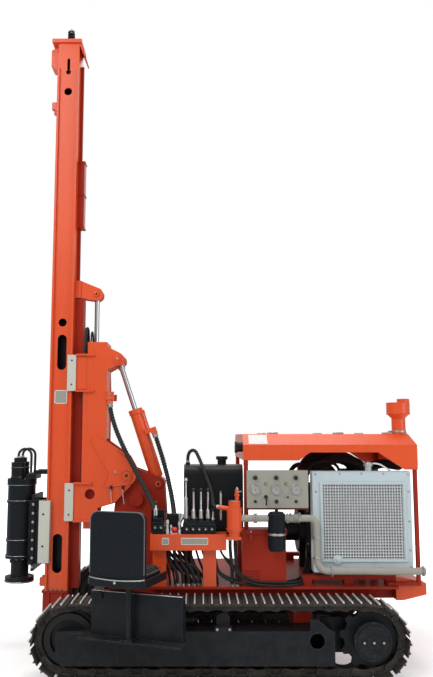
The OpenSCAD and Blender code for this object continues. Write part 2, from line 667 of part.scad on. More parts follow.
module slide_frame() color(orange) placed() {
    outer = carrier_w / 2;
    web_x = mast_rear_x + 300;
    pad_x = mast_rear_x + slide_gap;
    pad_y = flange_w / 2 + 2;
    difference() {
        both_sides() {
            side_plate(-outer, -outer + carrier_t) carrier_outline();
            side_plate(-outer - gusset_t, -outer + 1) gusset_outline();
            rod_y(tilt_eye[0], tilt_eye[1], 44, -outer - gusset_t, -outer + 1);
            // Ledges at the ends of the guide arms
            for (z = [carrier_top_z - 121, carrier_top_z - 453, pivot_z - 67, pivot_z - 402])
                slab(arm_x, arm_x + 165, -outer - 28, -outer + 1, z - 9, z + 9);
        }
        rod_y(pivot_x, pivot_z, pivot_pin_r + pin_play, -big / 2, big / 2);
        rod_y(mast_rear_x + 186, pivot_z - 166, 45, -big / 2, big / 2);
    }
    both_sides() {
        // Guide blocks behind the mast's rear flange
        for (z = [[carrier_top_z - 453, carrier_top_z - 121], [pivot_z - 402, pivot_z - 67]])
            slab(pad_x, arm_x + 60, -pad_y, -92, z[0], z[1]);
        // Inner ear of the tilt rod, beside the rod's own eye
        side_plate(-ear_gap / 2 - 24, -ear_gap / 2) {
            disc(tilt_eye, 58);
            polygon([
                [web_x, tilt_eye[1] - 110], [tilt_eye[0] - 20, tilt_eye[1] - 54],
                [tilt_eye[0] + 20, tilt_eye[1] + 54], [web_x, tilt_eye[1] + 110]
            ]);
        }
        // Pin head between the inner ear and the side plate
        rod_y(tilt_eye[0], tilt_eye[1], tilt_pin_r, -outer, -ear_gap / 2 - 12);
        // Block under the lower guide box
        slab(mast_rear_x + 124, mast_rear_x + 225, -outer + 40, -outer + 100, pivot_z - 476, pivot_z - 401);
    }
    // Web between the side plates, and the lid that the lift cylinder hangs from
    slab(web_x, web_x + 20, -outer + 5, outer - 5, pivot_z + 330, carrier_top_z);
    difference() {
        slab(mast_rear_x + 144, web_x + 15, -outer + 5, outer - 5, carrier_top_z - 30, carrier_top_z);
        rod_z(lift_x, 0, lift_rod_r + 6, carrier_top_z - 40, carrier_top_z + 10);
    }
    slab(mast_rear_x + 104, mast_rear_x + 225, -outer + 5, outer - 5, pivot_z - 402, pivot_z - 382);
    // Bracket and nipple of the front hose
    slab(back_x - 10, front_start[0] + 32, -outer - 15, -outer + 45, front_start[2] + 30, front_start[2] + 110);
    bar(front_start, 1.6 * front_start - 0.6 * front_points[1], feed_hose_r + 6);
}

// A clamp bar hooks round the edge of the mast's flange
module clamp_bar(x_flange, side, z0, z1, far) {
    lip = 18;
    edge = flange_w / 2 + 2;
    x_in = x_flange - side * (flange_t + slide_gap);
    x_lip = x_in - side * lip;
    both_sides() {
        slab(min(x_lip, far), max(x_lip, far), -edge - 26, -edge, z0, z1);
        slab(min(x_lip, x_in), max(x_lip, x_in), -edge, -mast_w / 2 - slide_gap, z0, z1);
    }
}

module wear_clamps() color(cream) placed() {
    for (z = [[carrier_top_z - 453, carrier_top_z - 121], [pivot_z - 402, pivot_z - 67]])
        clamp_bar(mast_rear_x, 1, z[0], z[1], mast_rear_x + 41);
}

module lift_barrel() color(orange) placed() {
    difference() {
        union() {
            rod_z(lift_x, 0, lift_barrel_r, lift_low_z, carrier_top_z - 30);
            rod_y(lift_x, lift_low_z + 40, 30, -carrier_w / 2 + carrier_t, carrier_w / 2 - carrier_t);
        }
        rod_z(lift_x, 0, lift_rod_r + pin_play, lift_bore_z, carrier_top_z);
    }
}

// Mast beam: a box of four plates with a guide flange at its front and rear
module mast_beam() color(orange) placed() {
    half = mast_w / 2;
    difference() {
        union() {
            slab(mast_front_x, mast_rear_x, -half, half, mast_low_z, mast_top_z);
            for (x = [mast_front_x, mast_rear_x - flange_t])
                slab(x, x + flange_t, -flange_w / 2, flange_w / 2, mast_low_z, mast_top_z - 260);
            // Stop blocks of the carriage on both sides of the feed chain
            for (z = [mast_low_z + 26, mast_top_z - 660], side = [-1, 1])
                translate([0, side * 50, 0]) slab(mast_front_x - 60, mast_front_x, -20, 20, z, z + 74);
        }
        slab(mast_front_x + flange_t, mast_rear_x - flange_t, -half + mast_wall, half - mast_wall,
             mast_low_z + 20, mast_top_z - 20);
        side_plate(-half - 1, half + 1) mast_cutouts();
    }
}

// Slots and holes through the side plates, each as [height of its low end, height of its top end, half width]
module mast_cutouts() {
    mid = (mast_front_x + mast_rear_x) / 2;
    slots = [[mast_low_z + 148, mast_low_z + 491, 42], [mast_low_z + 1973, mast_low_z + 2302, 42],
             [mast_top_z - 280, mast_top_z - 160, 14]];
    for (s = slots) {
        translate([mid - s[2], s[0] + s[2]]) square([2 * s[2], s[1] - s[0] - 2 * s[2]]);
        for (z = [s[0] + s[2], s[1] - s[2]]) disc([mid, z], s[2]);
    }
    for (h = [[mast_top_z - 300, 24], [mast_top_z - 500, 38], [mast_low_z + 2417, 38]]) disc([mid, h[0]], h[1]);
}

// Cap with the top wheel's housing ahead of the beam
module mast_head() color(orange) placed() {
    slab(mast_front_x - 60, mast_rear_x + 24, -mast_w / 2 - 20, mast_w / 2 + 20, mast_top_z, mast_top_z + 36);
    side_plate(-70, 70) polygon([
        [mast_front_x - 12, mast_top_z - 10], [mast_front_x, mast_top_z - 10], [mast_front_x, mast_top_z - 256],
        [mast_front_x - 20, mast_top_z - 256], [mast_front_x - 78, mast_top_z - 210],
        [mast_front_x - 78, mast_top_z - 50]
    ]);
    // Sloping flap at the rear edge
    side_plate(-mast_w / 2, mast_w / 2) polygon([
        [mast_rear_x, mast_top_z], [mast_rear_x, mast_top_z - 14],
        [mast_rear_x + 48, mast_top_z - 134], [mast_rear_x + 60, mast_top_z - 130], [mast_rear_x + 14, mast_top_z]
    ]);
}

// A bolt and the stacked turns of its coil spring
module chain_tensioner() color(black) placed() translate([mast_front_x + 100, 0, mast_top_z + 36]) {
    turns = 4;
    rod_z(0, 0, 15, 0, 172);
    rod_z(0, 0, 40, 0, 12);
    rod_z(0, 0, 32, 148, 160);
    for (i = [0:turns - 1])
        translate([0, 0, 28 + i * 34]) rotate_extrude() translate([27, 0]) circle(r = 13);
}

// Feed chain along the mast's front face
module feed_chain() color(black) placed() {
    low = mast_low_z + 30;
    top = mast_top_z - 256;
    for (side = [-1, 1]) slab(mast_front_x - 26, mast_front_x, side * 18 - 6, side * 18 + 6, low, top);
    slab(mast_front_x - 19, mast_front_x - 7, -13, 13, low, top);
}

module mast_foot() color(red) placed() {
    foot_z = mast_low_z - foot_h;
    half = mast_w / 2;
    slab(mast_front_x - 17, mast_rear_x - 3, -half - 5, half + 5, foot_z, mast_low_z - 20);
    slab(mast_front_x - 26, mast_rear_x + 5, -half - 16, half + 16, mast_low_z - 20, mast_low_z);
    // Sole plate and upright ribs
    slab(mast_front_x - 26, mast_rear_x + 5, -half - 16, half + 16, foot_z, foot_z + 16);
    both_sides() for (x = [mast_front_x + 30, mast_rear_x - 60])
        slab(x, x + 16, -half - 16, -half - 4, foot_z + 15, mast_low_z - 19);
}

// Return channel of the chain and the hose bracket on the mast's rear face
module rear_rail() color(red) placed() {
    hose_low_z = mast_low_z + 3347;
    slab(mast_rear_x, rail_back_x, -62, 62, mast_low_z + 8, mast_low_z + 2650);
    slab(mast_rear_x, mast_rear_x + 62, -50, 50, hose_low_z, hose_low_z + 663);
    for (z = [hose_low_z, hose_low_z + 324, hose_low_z + 649])
        slab(mast_rear_x, mast_rear_x + 68, -58, 58, z, z + 14);
    slab(mast_rear_x, mast_rear_x + 30, -14, 14, mast_low_z + 2825, mast_top_z - 190);
}

// Bracket and ears that the lift cylinder's rod hangs from
module lift_bracket() color(orange) placed() {
    eye_z = mast_low_z + 2700;
    slab(mast_rear_x, mast_rear_x + 54, -75, 75, eye_z - 39, eye_z + 125);
    both_sides() difference() {
        side_plate(-62, -32) {
            polygon([
                [mast_rear_x + 54, eye_z - 39], [lift_x - 20, eye_z - 57], [lift_x + 30, eye_z + 52],
                [mast_rear_x + 54, eye_z + 125]
            ]);
            disc([lift_x, eye_z], 60);
        }
        rod_y(lift_x, eye_z, 20 + pin_play, -70, 0);
    }
}

module lift_rod() color(chrome) placed() {
    eye_z = mast_low_z + 2700;
    rod_z(lift_x, 0, lift_rod_r, lift_bore_z + lift_down + 20, eye_z - 30);
    rod_y(lift_x, eye_z, 42, -31.5, 31.5);
    rod_y(lift_x, eye_z, 20, -70, 70);
}

// Carriage plate of the drill head, with its channel for the feed chain
module head_carriage() color(black) placed() {
    low_z = spindle_low_z + 118;
    top_z = spindle_low_z + 787;
    pad_x = mast_front_x - slide_gap;
    both_sides() {
        slab(plate_x, pad_x, -flange_w / 2 - 2, -80, low_z + 60, top_z - 50);
        // Ribs between the carriage plate and the gearbox's saddle
        for (z = [low_z + 50, (low_z + top_z) / 2 - 8, top_z - 86])
            slab(spindle_x + gearbox_r - 28, plate_x - 21, -flange_w / 2, -89, z, z + 16);
    }
    slab(plate_x - 22, plate_x, -flange_w / 2 - 28, flange_w / 2 + 28, low_z, top_z);
    slab(spindle_x + gearbox_r - 40, plate_x - 22, -90, 90, low_z + 40, top_z - 60);
}

module head_clamps() color(cream) placed()
    clamp_bar(mast_front_x, -1, spindle_low_z + 187, spindle_low_z + 733, mast_front_x - 60);

module gearbox() color(navy) placed() difference() {
    union() {
        rod_z(spindle_x, 0, gearbox_r - 8, spindle_low_z + 213, head_top_z - 1);
        rod_z(spindle_x, 0, gearbox_r - 40, spindle_low_z + 170, spindle_low_z + 214);
        // Flanges and rings, each as [height of its low side, height of its top side]
        for (h = [[212, 236], [362, 376], [706, 724], [867, 921]])
            rod_z(spindle_x, 0, gearbox_r, spindle_low_z + h[0], spindle_low_z + h[1]);
    }
    rod_z(spindle_x, 0, spindle_r + pin_play, spindle_low_z + 100, spindle_low_z + 330);
    slab(spindle_x + gearbox_r - 40, big, -90, 90, spindle_low_z + 158, spindle_low_z + 727);
}

module head_motors() color(black) placed() {
    slab(spindle_x + 60, spindle_x + 150, -110, 110, head_top_z, head_top_z + 45);
    both_sides() {
        slab(spindle_x + 129, mast_front_x - 11, -118, -76, head_top_z + 44, head_top_z + 80);
        rod_z(motor_x, -75, 62, head_top_z, head_top_z + 150);
        rod_z(motor_x, -75, 66, head_top_z, head_top_z + 18);
        rod_z(motor_x, -75, 66, head_top_z + 92, head_top_z + 104);
        rod_z(motor_x, -75, 40, head_top_z + 149, head_top_z + 190);
    }
}

// Two looped hoses from the motors' tops to the plate behind them
module head_hoses() color(black) placed() both_sides() {
    r = 11;
    loop_r = (spindle_x + 97 - motor_x) / 2;
    loop_z = head_top_z + 212;
    rod_z(motor_x, -75, r, head_top_z + 190, loop_z);
    rod_z(motor_x + 2 * loop_r, -75, r, head_top_z + 45, loop_z);
    translate([motor_x + loop_r, -75, loop_z]) rotate([90, 0, 0])
        rotate_extrude(angle = 180) translate([loop_r, 0]) circle(r = r);
}

module spindle() color(black) placed() {
    difference() {
        union() {
            rod_z(spindle_x, 0, spindle_r, spindle_low_z + 48, spindle_low_z + 329);
            rod_z(spindle_x, 0, spindle_flange_r, spindle_low_z, spindle_low_z + 48);
        }
        rod_z(spindle_x, 0, spindle_bore_r, spindle_low_z - 1, spindle_low_z + 200);
        for (i = [0:7]) rotate_about(spindle_x, i * 45)
            rod_z(spindle_x + 106, 0, 9, spindle_low_z - 1, spindle_low_z + 49);
    }
}

module rotate_about(x, a) { translate([x, 0, 0]) rotate([0, 0, a]) translate([-x, 0, 0]) children(); }

// Frame of the operator's platform: x along it, y away from the machine's side
module on_platform() { translate([seat_pivot[0], seat_pivot[1], 0]) rotate([0, 0, -seat_turn]) children(); }

module seat_platform() color(navy) placed() {
    on_platform() {
        slab(-platform_l / 2, platform_l / 2, 0, platform_t, 395, 716);
        slab(-ledge_l / 2, ledge_l / 2 - 30, -ledge_d + platform_t, platform_t, 383, 395);
    }
    for (x = [-935, -790])
        slab(x - 40, x + 40, seat_pivot[1] + 80, -rail_span / 2, deck_z, deck_z + 50);
}

module seat_post() color(black) placed() on_platform() {
    rod_z(-30, -60, 24, 407, 768);
    slab(-80, 20, -105, 0, 395, 407);
    slab(-150, 90, -100, 200, 768, 780);
}

module seat_shell() color(navy) placed() on_platform() {
    w = seat_w / 2;
    side = 60;
    shell_t = 40;
    h = back_h + 100;
    translate([-90, -150, 780]) {
        slab(-w, w, 0, seat_d, 0, 30);
        // Raised rims along the pan's sides
        for (x = [-w, w - 14]) slab(x, x + 14, shell_t, seat_d, 29, 58);
        translate([0, shell_t, 0]) rotate([90, 0, 0]) linear_extrude(shell_t) {
            translate([-w + side, 0]) square([2 * w - 2 * side, h]);
            translate([-w, 0]) square([2 * w, h - side]);
            for (x = [-w + side, w - side]) disc([x, h - side], side);
        }
    }
}

module seat_cushion() color(black) placed() on_platform()
    translate([-90, -150, 780])
        slab(-seat_w / 2 + 16, seat_w / 2 - 16, 42, seat_d - 5, 30 + seat_gap, 110);

module back_cushion() color(black) placed() on_platform()
    translate([-90, -150, 780])
        slab(-seat_w / 2 + 20, seat_w / 2 - 20, 40 + seat_gap, 105, 120, back_h + 80);

module control_bench() color(orange) placed() {
    slab(bench_x, bench_x + bench_l, bench_y, bench_y + bench_w, bench_low_z, bench_top_z);
    for (x = [bench_x + 20, bench_x + bench_l - 190])
        slab(x, x + 108, bench_y + bench_w - 105, bench_y + bench_w - 5, deck_z, bench_low_z);
}

module valve_bank() color(black) placed() {
    first = [bench_x + 264, bench_x + 533];
    second = [bench_x + 16, bench_x + 112];
    slab(first[0], first[1], bench_y + 15, bench_y + 140, bench_top_z, bench_top_z + 80);
    slab(second[0], second[1], bench_y + 15, bench_y + 125, bench_top_z, bench_top_z + 90);
    // Cover strip over the valve sections, and the sections' end caps
    slab(first[0] + 8, first[1] - 8, bench_y + 25, bench_y + 130, bench_top_z + 79, bench_top_z + 98);
    for (i = [0:4]) rod_y(first[0] + 33 + i * 51, bench_top_z + 40, 15, bench_y + 4, bench_y + 16);
    slab(second[0] + 12, second[1] - 12, bench_y + 25, bench_y + 115, bench_top_z + 89, bench_top_z + 122);
    // Port blocks with the nipples of the two bending hoses
    slab(bench_x, second[1], bench_y + 120, bench_y + bench_w, bench_top_z, bench_top_z + 181);
    slab(bench_x + 131, bench_x + 251, bench_y + 110, bench_y + bench_w, bench_top_z, bench_top_z + 150);
    for (p = [front_end, rear_end]) rod_y(p[0], p[2], feed_hose_r + 6, bench_y + bench_w - 1, p[1]);
}

// Levers as [place along the bench, height of their foot, of their body's top and of their knob, knob's radius]
module levers() color(silver) placed() {
    table = [
        [289, 98, 296, 430, 15], [352, 98, 196, 349, 14], [413, 98, 196, 349, 14], [471, 98, 196, 349, 14],
        [512, 98, 130, 187, 12], [42, 122, 206, 243, 16]
    ];
    for (t = table) translate([bench_x + t[0], lever_y, bench_top_z]) {
        rod_z(0, 0, 19, t[1], t[1] + 30);
        translate([0, 0, t[1]]) cylinder(r1 = 14, r2 = 9, h = t[2] - t[1]);
        rod_z(0, 0, 7, t[1], t[3]);
        translate([0, 0, t[3]]) sphere(r = t[4]);
    }
}

module gauge_panel() color(grey) placed() {
    front_y = -post_y - 80;
    x0 = hood_x0 + 25;
    slab(x0, x0 + 502, front_y, -post_y, panel_low_z, panel_low_z + 303);
    // Bezels, and the knobs as [place along the panel, height, radius, length]
    for (x = [69, 241, 402]) difference() {
        rod_y(x0 + x, panel_low_z + 149, 40, front_y - 14, front_y + 1);
        rod_y(x0 + x, panel_low_z + 149, 34, front_y - 15, front_y - 8);
    }
    knobs = [
        [69, 244, 15, 24], [241, 244, 15, 24], [402, 244, 15, 24], [69, 53, 9, 16], [241, 53, 9, 16],
        [402, 53, 9, 16], [156, 194, 9, 18], [323, 194, 9, 18], [156, 90, 12, 12], [323, 99, 8, 22]
    ];
    for (k = knobs) rod_y(x0 + k[0], panel_low_z + k[1], k[2], front_y - k[3], front_y + 1);
}

// Oil tank with rounded top edges, its filler, its level gauge and the nipple of its hose
module oil_tank() color(black) placed() {
    round_r = 90;
    filler = [tank_x + 330, tank_y + 190];
    translate([tank_x, 0, tank_z]) rotate([90, 0, 90]) linear_extrude(tank_l) {
        translate([tank_y, 0]) square([tank_w, tank_h - round_r]);
        translate([tank_y + round_r, 0]) square([tank_w - 2 * round_r, tank_h]);
        for (y = [tank_y + round_r, tank_y + tank_w - round_r]) disc([y, tank_h - round_r], round_r);
    }
    slab(tank_x - 8, tank_x + tank_l + 8, tank_y - 8, tank_y + tank_w + 8, tank_z, tank_z + 16);
    rod_z(filler[0], filler[1], 38, tank_top_z - 2, tank_top_z + 44);
    rod_z(filler[0], filler[1], 48, tank_top_z + 43, tank_top_z + 72);
    slab(tank_x + 300, tank_x + 328, tank_y - 12, tank_y + 1, tank_z + 150, tank_z + 390);
    rod_z(tank_start[0], tank_start[1], small_hose_r + 5, tank_top_z - 2, tank_start[2]);
}

module battery_box() color(red) placed() {
    y0 = -hood_w / 2 - 20;
    lid = 10;
    slab(hood_x0 - 14, hood_x0 + 345, y0, y0 + 155, deck_z, box_top_z - 40);
    slab(hood_x0 - 14 - lid, hood_x0 + 345 + lid, y0 - lid, y0 + 155 + lid / 2, box_top_z - 40, box_top_z);
    // Latches on the lid's front edge
    for (x = [hood_x0 + 40, hood_x0 + 280]) slab(x, x + 36, y0 - 18, y0 + 1, box_top_z - 90, box_top_z - 39);
}

module filter_canister() color(black) placed() {
    low = pipe_z - 242;
    rod_z(canister_x, pipe_y, canister_r, low, pipe_z + 38);
    rod_z(canister_x, pipe_y, canister_r - 12, low - 14, pipe_z + 50);
    rod_z(canister_x, pipe_y, canister_r + 5, low + 110, low + 128);
    rod_z(canister_x, pipe_y, 14, pipe_z + 49, pipe_z + 74);
    slab(canister_x - 37, canister_x + 37, pipe_y, -hood_w / 2 - 30, box_top_z - 35, box_top_z - 5);
}

module lubricator() color(orange) placed() {
    low = bench_top_z - 10;
    rod_z(lubricator_x, pipe_y, lubricator_r - 14, low, low + 40);
    rod_z(lubricator_x, pipe_y, lubricator_r, low + 36, low + 226);
    rod_z(lubricator_x, pipe_y, lubricator_r + 6, low + 52, low + 66);
    rod_z(lubricator_x, pipe_y, lubricator_r - 12, low + 225, low + 278);
    rod_z(lubricator_x + 22, pipe_y, 16, low + 277, low + 372);
    rod_z(lubricator_x + 22, pipe_y, 22, low + 318, low + 334);
    // Nipple of the tank's hose
    bar(tank_end, [lubricator_x, pipe_y, tank_end[2] - 20], small_hose_r + 3);
    slab(bench_x + bench_l, bench_x + bench_l + 116, pipe_y - 50, bench_y + 70, low - 24, low);
}

// Elbow of the air pipe in the upright plane along the machine
module elbow(x, z, from, r) {
    translate([x, pipe_y, z]) rotate([90, 0, 0])
        rotate([0, 0, from]) rotate_extrude(angle = 90) translate([r, 0]) circle(r = pipe_r);
}

module air_pipe() color(cream) placed() {
    drop_x = radiator_x + 14;
    low_pipe_z = radiator_z + 24;
    flange_r = pipe_r + 12;
    difference() {
        rod_x(pipe_y, pipe_z, pipe_r, lubricator_x, canister_x);
        rod_z(lubricator_x, pipe_y, lubricator_r + seat_gap, pipe_z - 100, pipe_z + 100);
        rod_z(canister_x, pipe_y, canister_r + seat_gap, pipe_z - 100, pipe_z + 100);
    }
    difference() {
        rod_x(pipe_y, pipe_z, pipe_r, canister_x, drop_x - 60);
        rod_z(canister_x, pipe_y, canister_r + seat_gap, pipe_z - 100, pipe_z + 100);
    }
    elbow(drop_x - 60, pipe_z - 60, 0, 60);
    rod_z(drop_x, pipe_y, pipe_r, low_pipe_z + 90, pipe_z - 60);
    elbow(drop_x + 90, low_pipe_z + 90, 180, 90);
    rod_x(pipe_y, low_pipe_z, pipe_r, drop_x + 90, hood_x1 - 8);
    // Flanges and a ribbed coupling
    for (x = [(lubricator_x + canister_x) / 2 - 14, (lubricator_x + canister_x) / 2 + 2, canister_x + 84])
        rod_x(pipe_y, pipe_z, flange_r, x, x + 12);
    for (i = [0:3]) rod_x(pipe_y, pipe_z, flange_r - 5, canister_x + 118 + i * 16, canister_x + 126 + i * 16);
    for (x = [drop_x + 110, hood_x1 - 30]) rod_x(pipe_y, low_pipe_z, flange_r, x, x + 12);
    // Bracket on the radiator's casing
    slab(radiator_x + 529, radiator_x + 569, pipe_y + 20, -deck_side_y, low_pipe_z - 15, low_pipe_z + 15);
}

// Casing with the core's opening, its raised frame and the fan's shroud behind it
module radiator() color(silver) placed() {
    y0 = -deck_side_y;
    x1 = radiator_x + radiator_w;
    z1 = radiator_z + radiator_h;
    fan = [radiator_x + radiator_w / 2, radiator_z + radiator_h / 2];
    fan_r = 330;
    difference() {
        union() {
            slab(radiator_x, x1, y0, radiator_rear_y, radiator_z, z1);
            slab(radiator_x + 62, x1 - 45, y0 - 10, y0 + 1, radiator_z + 82, z1 - 86);
        }
        slab(radiator_x + 81, x1 - 64, y0 - 11, y0 + 40, radiator_z + 101, z1 - 105);
    }
    difference() {
        rod_y(fan[0], fan[1], fan_r, radiator_rear_y - 1, radiator_rear_y + 60);
        rod_y(fan[0], fan[1], fan_r - 12, radiator_rear_y, radiator_rear_y + 61);
    }
    // Fan motor on its arms
    rod_y(fan[0], fan[1], 70, radiator_rear_y - 1, radiator_rear_y + 80);
    for (a = [30, 150, 270])
        translate([fan[0], radiator_rear_y + 40, fan[1]]) rotate([0, a, 0])
            translate([0, 0, -12]) cube([fan_r - 6, 16, 24]);
    rod_z(x1 - 334, y0 + 60, 26, z1 - 2, z1 + 40);
    rod_z(x1 - 334, y0 + 60, 36, z1 + 39, z1 + 70);
    rod_y(radiator_x + 192, radiator_z + 101, 36, y0 - 18, y0 + 1);
}

module grille() color(silver) placed() {
    w = radiator_w - 145;
    h = radiator_h - 206;
    rib = 10;
    pitch_x = (w - rib) / grille_columns;
    pitch_z = (h - rib) / grille_rows;
    translate([radiator_x + 81, -deck_side_y + 10, radiator_z + 101]) rotate([90, 0, 0]) linear_extrude(8)
        difference() {
            square([w, h]);
            for (i = [0:grille_columns - 1], j = [0:grille_rows - 1])
                translate([rib + i * pitch_x, rib + j * pitch_z]) square([pitch_x - rib, pitch_z - rib]);
        }
}

// Cross section of the hood, seen along the machine
module hood_section(inset) {
    half = hood_w / 2 - inset;
    top = hood_top_z - inset;
    bevel = 90;
    polygon([
        [-half, hood_low_z - inset], [-half, top - bevel], [-half + bevel, top],
        [half - bevel, top], [half, top - bevel], [half, hood_low_z - inset]
    ]);
}

// Side view of the hood with its sloped rear corner
module hood_profile(inset) {
    top = hood_top_z - inset;
    polygon([
        [hood_x0 + inset, hood_low_z - inset], [hood_x0 + inset, top], [hood_x1 - 47 - 0.6 * inset, top],
        [hood_x1 - inset, hood_top_z - 91 - 0.24 * inset], [hood_x1 - inset, hood_low_z - inset]
    ]);
}

module hood_body(inset) {
    intersection() {
        translate([hood_x0, 0, 0]) rotate([90, 0, 90]) linear_extrude(hood_x1 - hood_x0) hood_section(inset);
        side_plate(-hood_w / 2, hood_w / 2) hood_profile(inset);
    }
}

module hood() color(orange) placed() {
    difference() {
        hood_body(0);
        hood_body(hood_t);
        // The lower edge is higher at the front and arches over the radiator
        side_plate(-big / 2, big / 2) polygon([
            [hood_x0 - 1, hood_low_z - 1], [hood_x0 - 1, hood_top_z - 216], [hood_x0 + 466, hood_top_z - 216],
            [hood_x0 + 559, hood_top_z - 150], [hood_x0 + 1127, hood_top_z - 150],
            [hood_x0 + 1290, hood_top_z - 257], [hood_x0 + 1345, hood_low_z - 1]
        ]);
    }
}

module hood_posts() color(red) placed() {
    low = deck_z;
    top = hood_top_z - 120;
    x0 = hood_x0 + hood_t + seat_gap;
    x1 = hood_x1 - hood_t - seat_gap;
    for (side = [-1, 1]) {
        y = side * (post_y - 20);
        foot = side < 0 ? box_top_z : low;
        slab(x0, x0 + 36, y - 20, y + 20, foot, top);
        slab(x1 - 28, x1, y - 20, y + 20, low, top);
        slab(chassis_rear - 80, x1, y - 20, y + 20, low, low + 25);
    }
    slab(x0 + 36, hood_x0 + 537, -post_y, -post_y + 30, panel_low_z - 21, panel_low_z);
}

// Engine on its feet: sump, block, head and cover, with its pump, its starter and its silencer
module engine() color(black) placed() {
    x0 = radiator_x + 9;
    x1 = x0 + engine_l;
    half = engine_w / 2;
    low = subframe_z + 20;
    block_z = low + 150;
    head_z = block_z + 330;
    shaft_z = block_z + 130;
    slab(x0 + 60, x1 - 60, -half + 60, half - 60, low, block_z + 1);
    slab(x0, x1, -half, half, block_z, head_z);
    slab(x0 + 20, x1 - 20, -half + 50, half - 50, head_z - 1, head_z + 130);
    slab(x0 + 40, x1 - 40, -half + 90, half - 90, head_z + 129, head_z + 210);
    // Bell housing and pump ahead, pulley and starter behind
    rod_x(0, shaft_z, 200, x0 - 50, x0 + 1);
    rod_x(0, shaft_z, 105, x0 - 250, x0 - 49);
    rod_x(0, shaft_z, 80, x1 - 1, x1 + 60);
    rod_x(0, head_z - 60, 60, x1 - 1, x1 + 45);
    rod_x(half + 30, block_z + 60, 45, x0 + 20, x0 + 220);
    // Silencer on its bracket
    rod_x(half + 100, head_z + 110, 72, x0 + 90, x0 + 480);
    rod_x(half + 100, head_z + 110, 30, x0 + 479, x0 + 560);
    slab(x0 + 240, x0 + 320, half - 60, half + 60, head_z + 60, head_z + 128);
    for (x = [x0, x1 - 60], side = [-1, 1])
        slab(x, x + 60, side * (half - 10) - 40, side * (half - 10) + 40, deck_z, block_z + 20);
}

module pre_cleaner() color(orange) placed() {
    x = hood_x1 - 108;
    y = -hood_w / 2 + 150;
    translate([x, y, hood_top_z]) {
        cylinder(r = 58, h = 130);
        translate([0, 0, 126]) cylinder(r1 = 50, r2 = 98, h = 48);
        translate([0, 0, 173]) cylinder(r = 98, h = 93);
        translate([46, 0, 265]) cylinder(r = 52, h = 35);
        cylinder(r = 66, h = 10);
    }
}

module work_lamp() color(black) placed() {
    y = -hood_w / 2 + 70;
    z = hood_top_z - 110;
    rod_x(y, z, 40, hood_x0 - 53, hood_x0);
    rod_x(y, z, 47, hood_x0 - 60, hood_x0 - 44);
}

module hose_front() color(black) placed() hose(front_points, feed_hose_r, [1, 0, 0]);
module hose_rear() color(black) placed() hose(rear_points, feed_hose_r, [1, 0, 0]);
module tank_hose() color(black) placed() hose(tank_points, small_hose_r, [0, 1, 0]);

// Hoses from the bench and from the lubricator's bracket down to the deck
module control_hoses() color(black) placed() {
    drop = bench_low_z - deck_z;
    for (i = [0:4]) translate([bench_x + 150 + i * 45, bench_y + 110, deck_z]) hose([
        [0, 0, drop], [0, 0, 0.8 * drop], [14, 0, 0.6 * drop], [56, 0, 0.4 * drop], [70, 0, 0.2 * drop], [70, 0, 0]
    ], small_hose_r, [0, 1, 0]);
    rise = bench_top_z - 34 - deck_z;
    for (x = [30, 70]) translate([bench_x + bench_l + x, -deck_side_y, deck_z]) hose([
        [0, -36, rise], [0, -36, 0.8 * rise], [8, -26, 0.55 * rise], [16, 4, 0.3 * rise],
        [16, 20, 0.12 * rise], [16, 20, 0]
    ], small_hose_r, [0, 1, 0]);
}

track_left();
track_right();
track_frame_left();
track_frame_right();
final_drives();
idlers();
rollers();
chassis();
counterweight();
mast_seat();
hinge_pins();
tilt_barrel();
tilt_rod();
slide_frame();
wear_clamps();
lift_barrel();
mast_beam();
mast_head();
chain_tensioner();
feed_chain();
mast_foot();
rear_rail();
lift_bracket();
lift_rod();
head_carriage();
head_clamps();
gearbox();
head_motors();
spindle();
seat_platform();
seat_post();
seat_shell();
seat_cushion();
back_cushion();
control_bench();
valve_bank();
levers();
gauge_panel();
oil_tank();
battery_box();
filter_canister();
lubricator();
air_pipe();
radiator();
grille();
hood();
hood_posts();
engine();
pre_cleaner();
work_lamp();
hose_front();
hose_rear();
control_hoses();
tank_hose();
beam_gussets();
tank_stand();
head_hoses();
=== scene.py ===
"""Looks of the tracked pile driver rig.

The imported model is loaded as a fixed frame, each of its pieces gets its finish, and the finer pieces are
worked out as surfaces and put where the frame says. Points and sizes that go through at, spots, box, post,
nut, ring, heads, rod, slab and ribbed are in millimetres, measured from the ground under the middle between
the tracks: x runs to the rear, y away from the operator's side and z up. All other lengths are in metres.
"""
import math

import bpy
import numpy as np
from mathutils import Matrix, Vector


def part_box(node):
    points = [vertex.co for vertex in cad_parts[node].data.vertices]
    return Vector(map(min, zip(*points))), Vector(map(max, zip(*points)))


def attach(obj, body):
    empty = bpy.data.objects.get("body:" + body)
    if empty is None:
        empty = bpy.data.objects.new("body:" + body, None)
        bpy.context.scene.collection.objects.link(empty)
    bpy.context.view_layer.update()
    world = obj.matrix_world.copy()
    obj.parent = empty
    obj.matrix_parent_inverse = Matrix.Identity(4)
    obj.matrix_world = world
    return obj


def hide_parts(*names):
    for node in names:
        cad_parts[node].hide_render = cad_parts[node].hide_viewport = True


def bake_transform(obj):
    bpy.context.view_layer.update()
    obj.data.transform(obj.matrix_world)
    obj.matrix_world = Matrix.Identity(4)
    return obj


bl_info = {
    "name": "Tracked pile driver rig",
    "version": (1, 0, 0),
    "blender": (4, 5, 0),
    "location": "3D View > Sidebar > Rig",
    "description": "Finishes and fine pieces of a tracked pile driver rig around its fixed frame",
    "category": "Object",
}

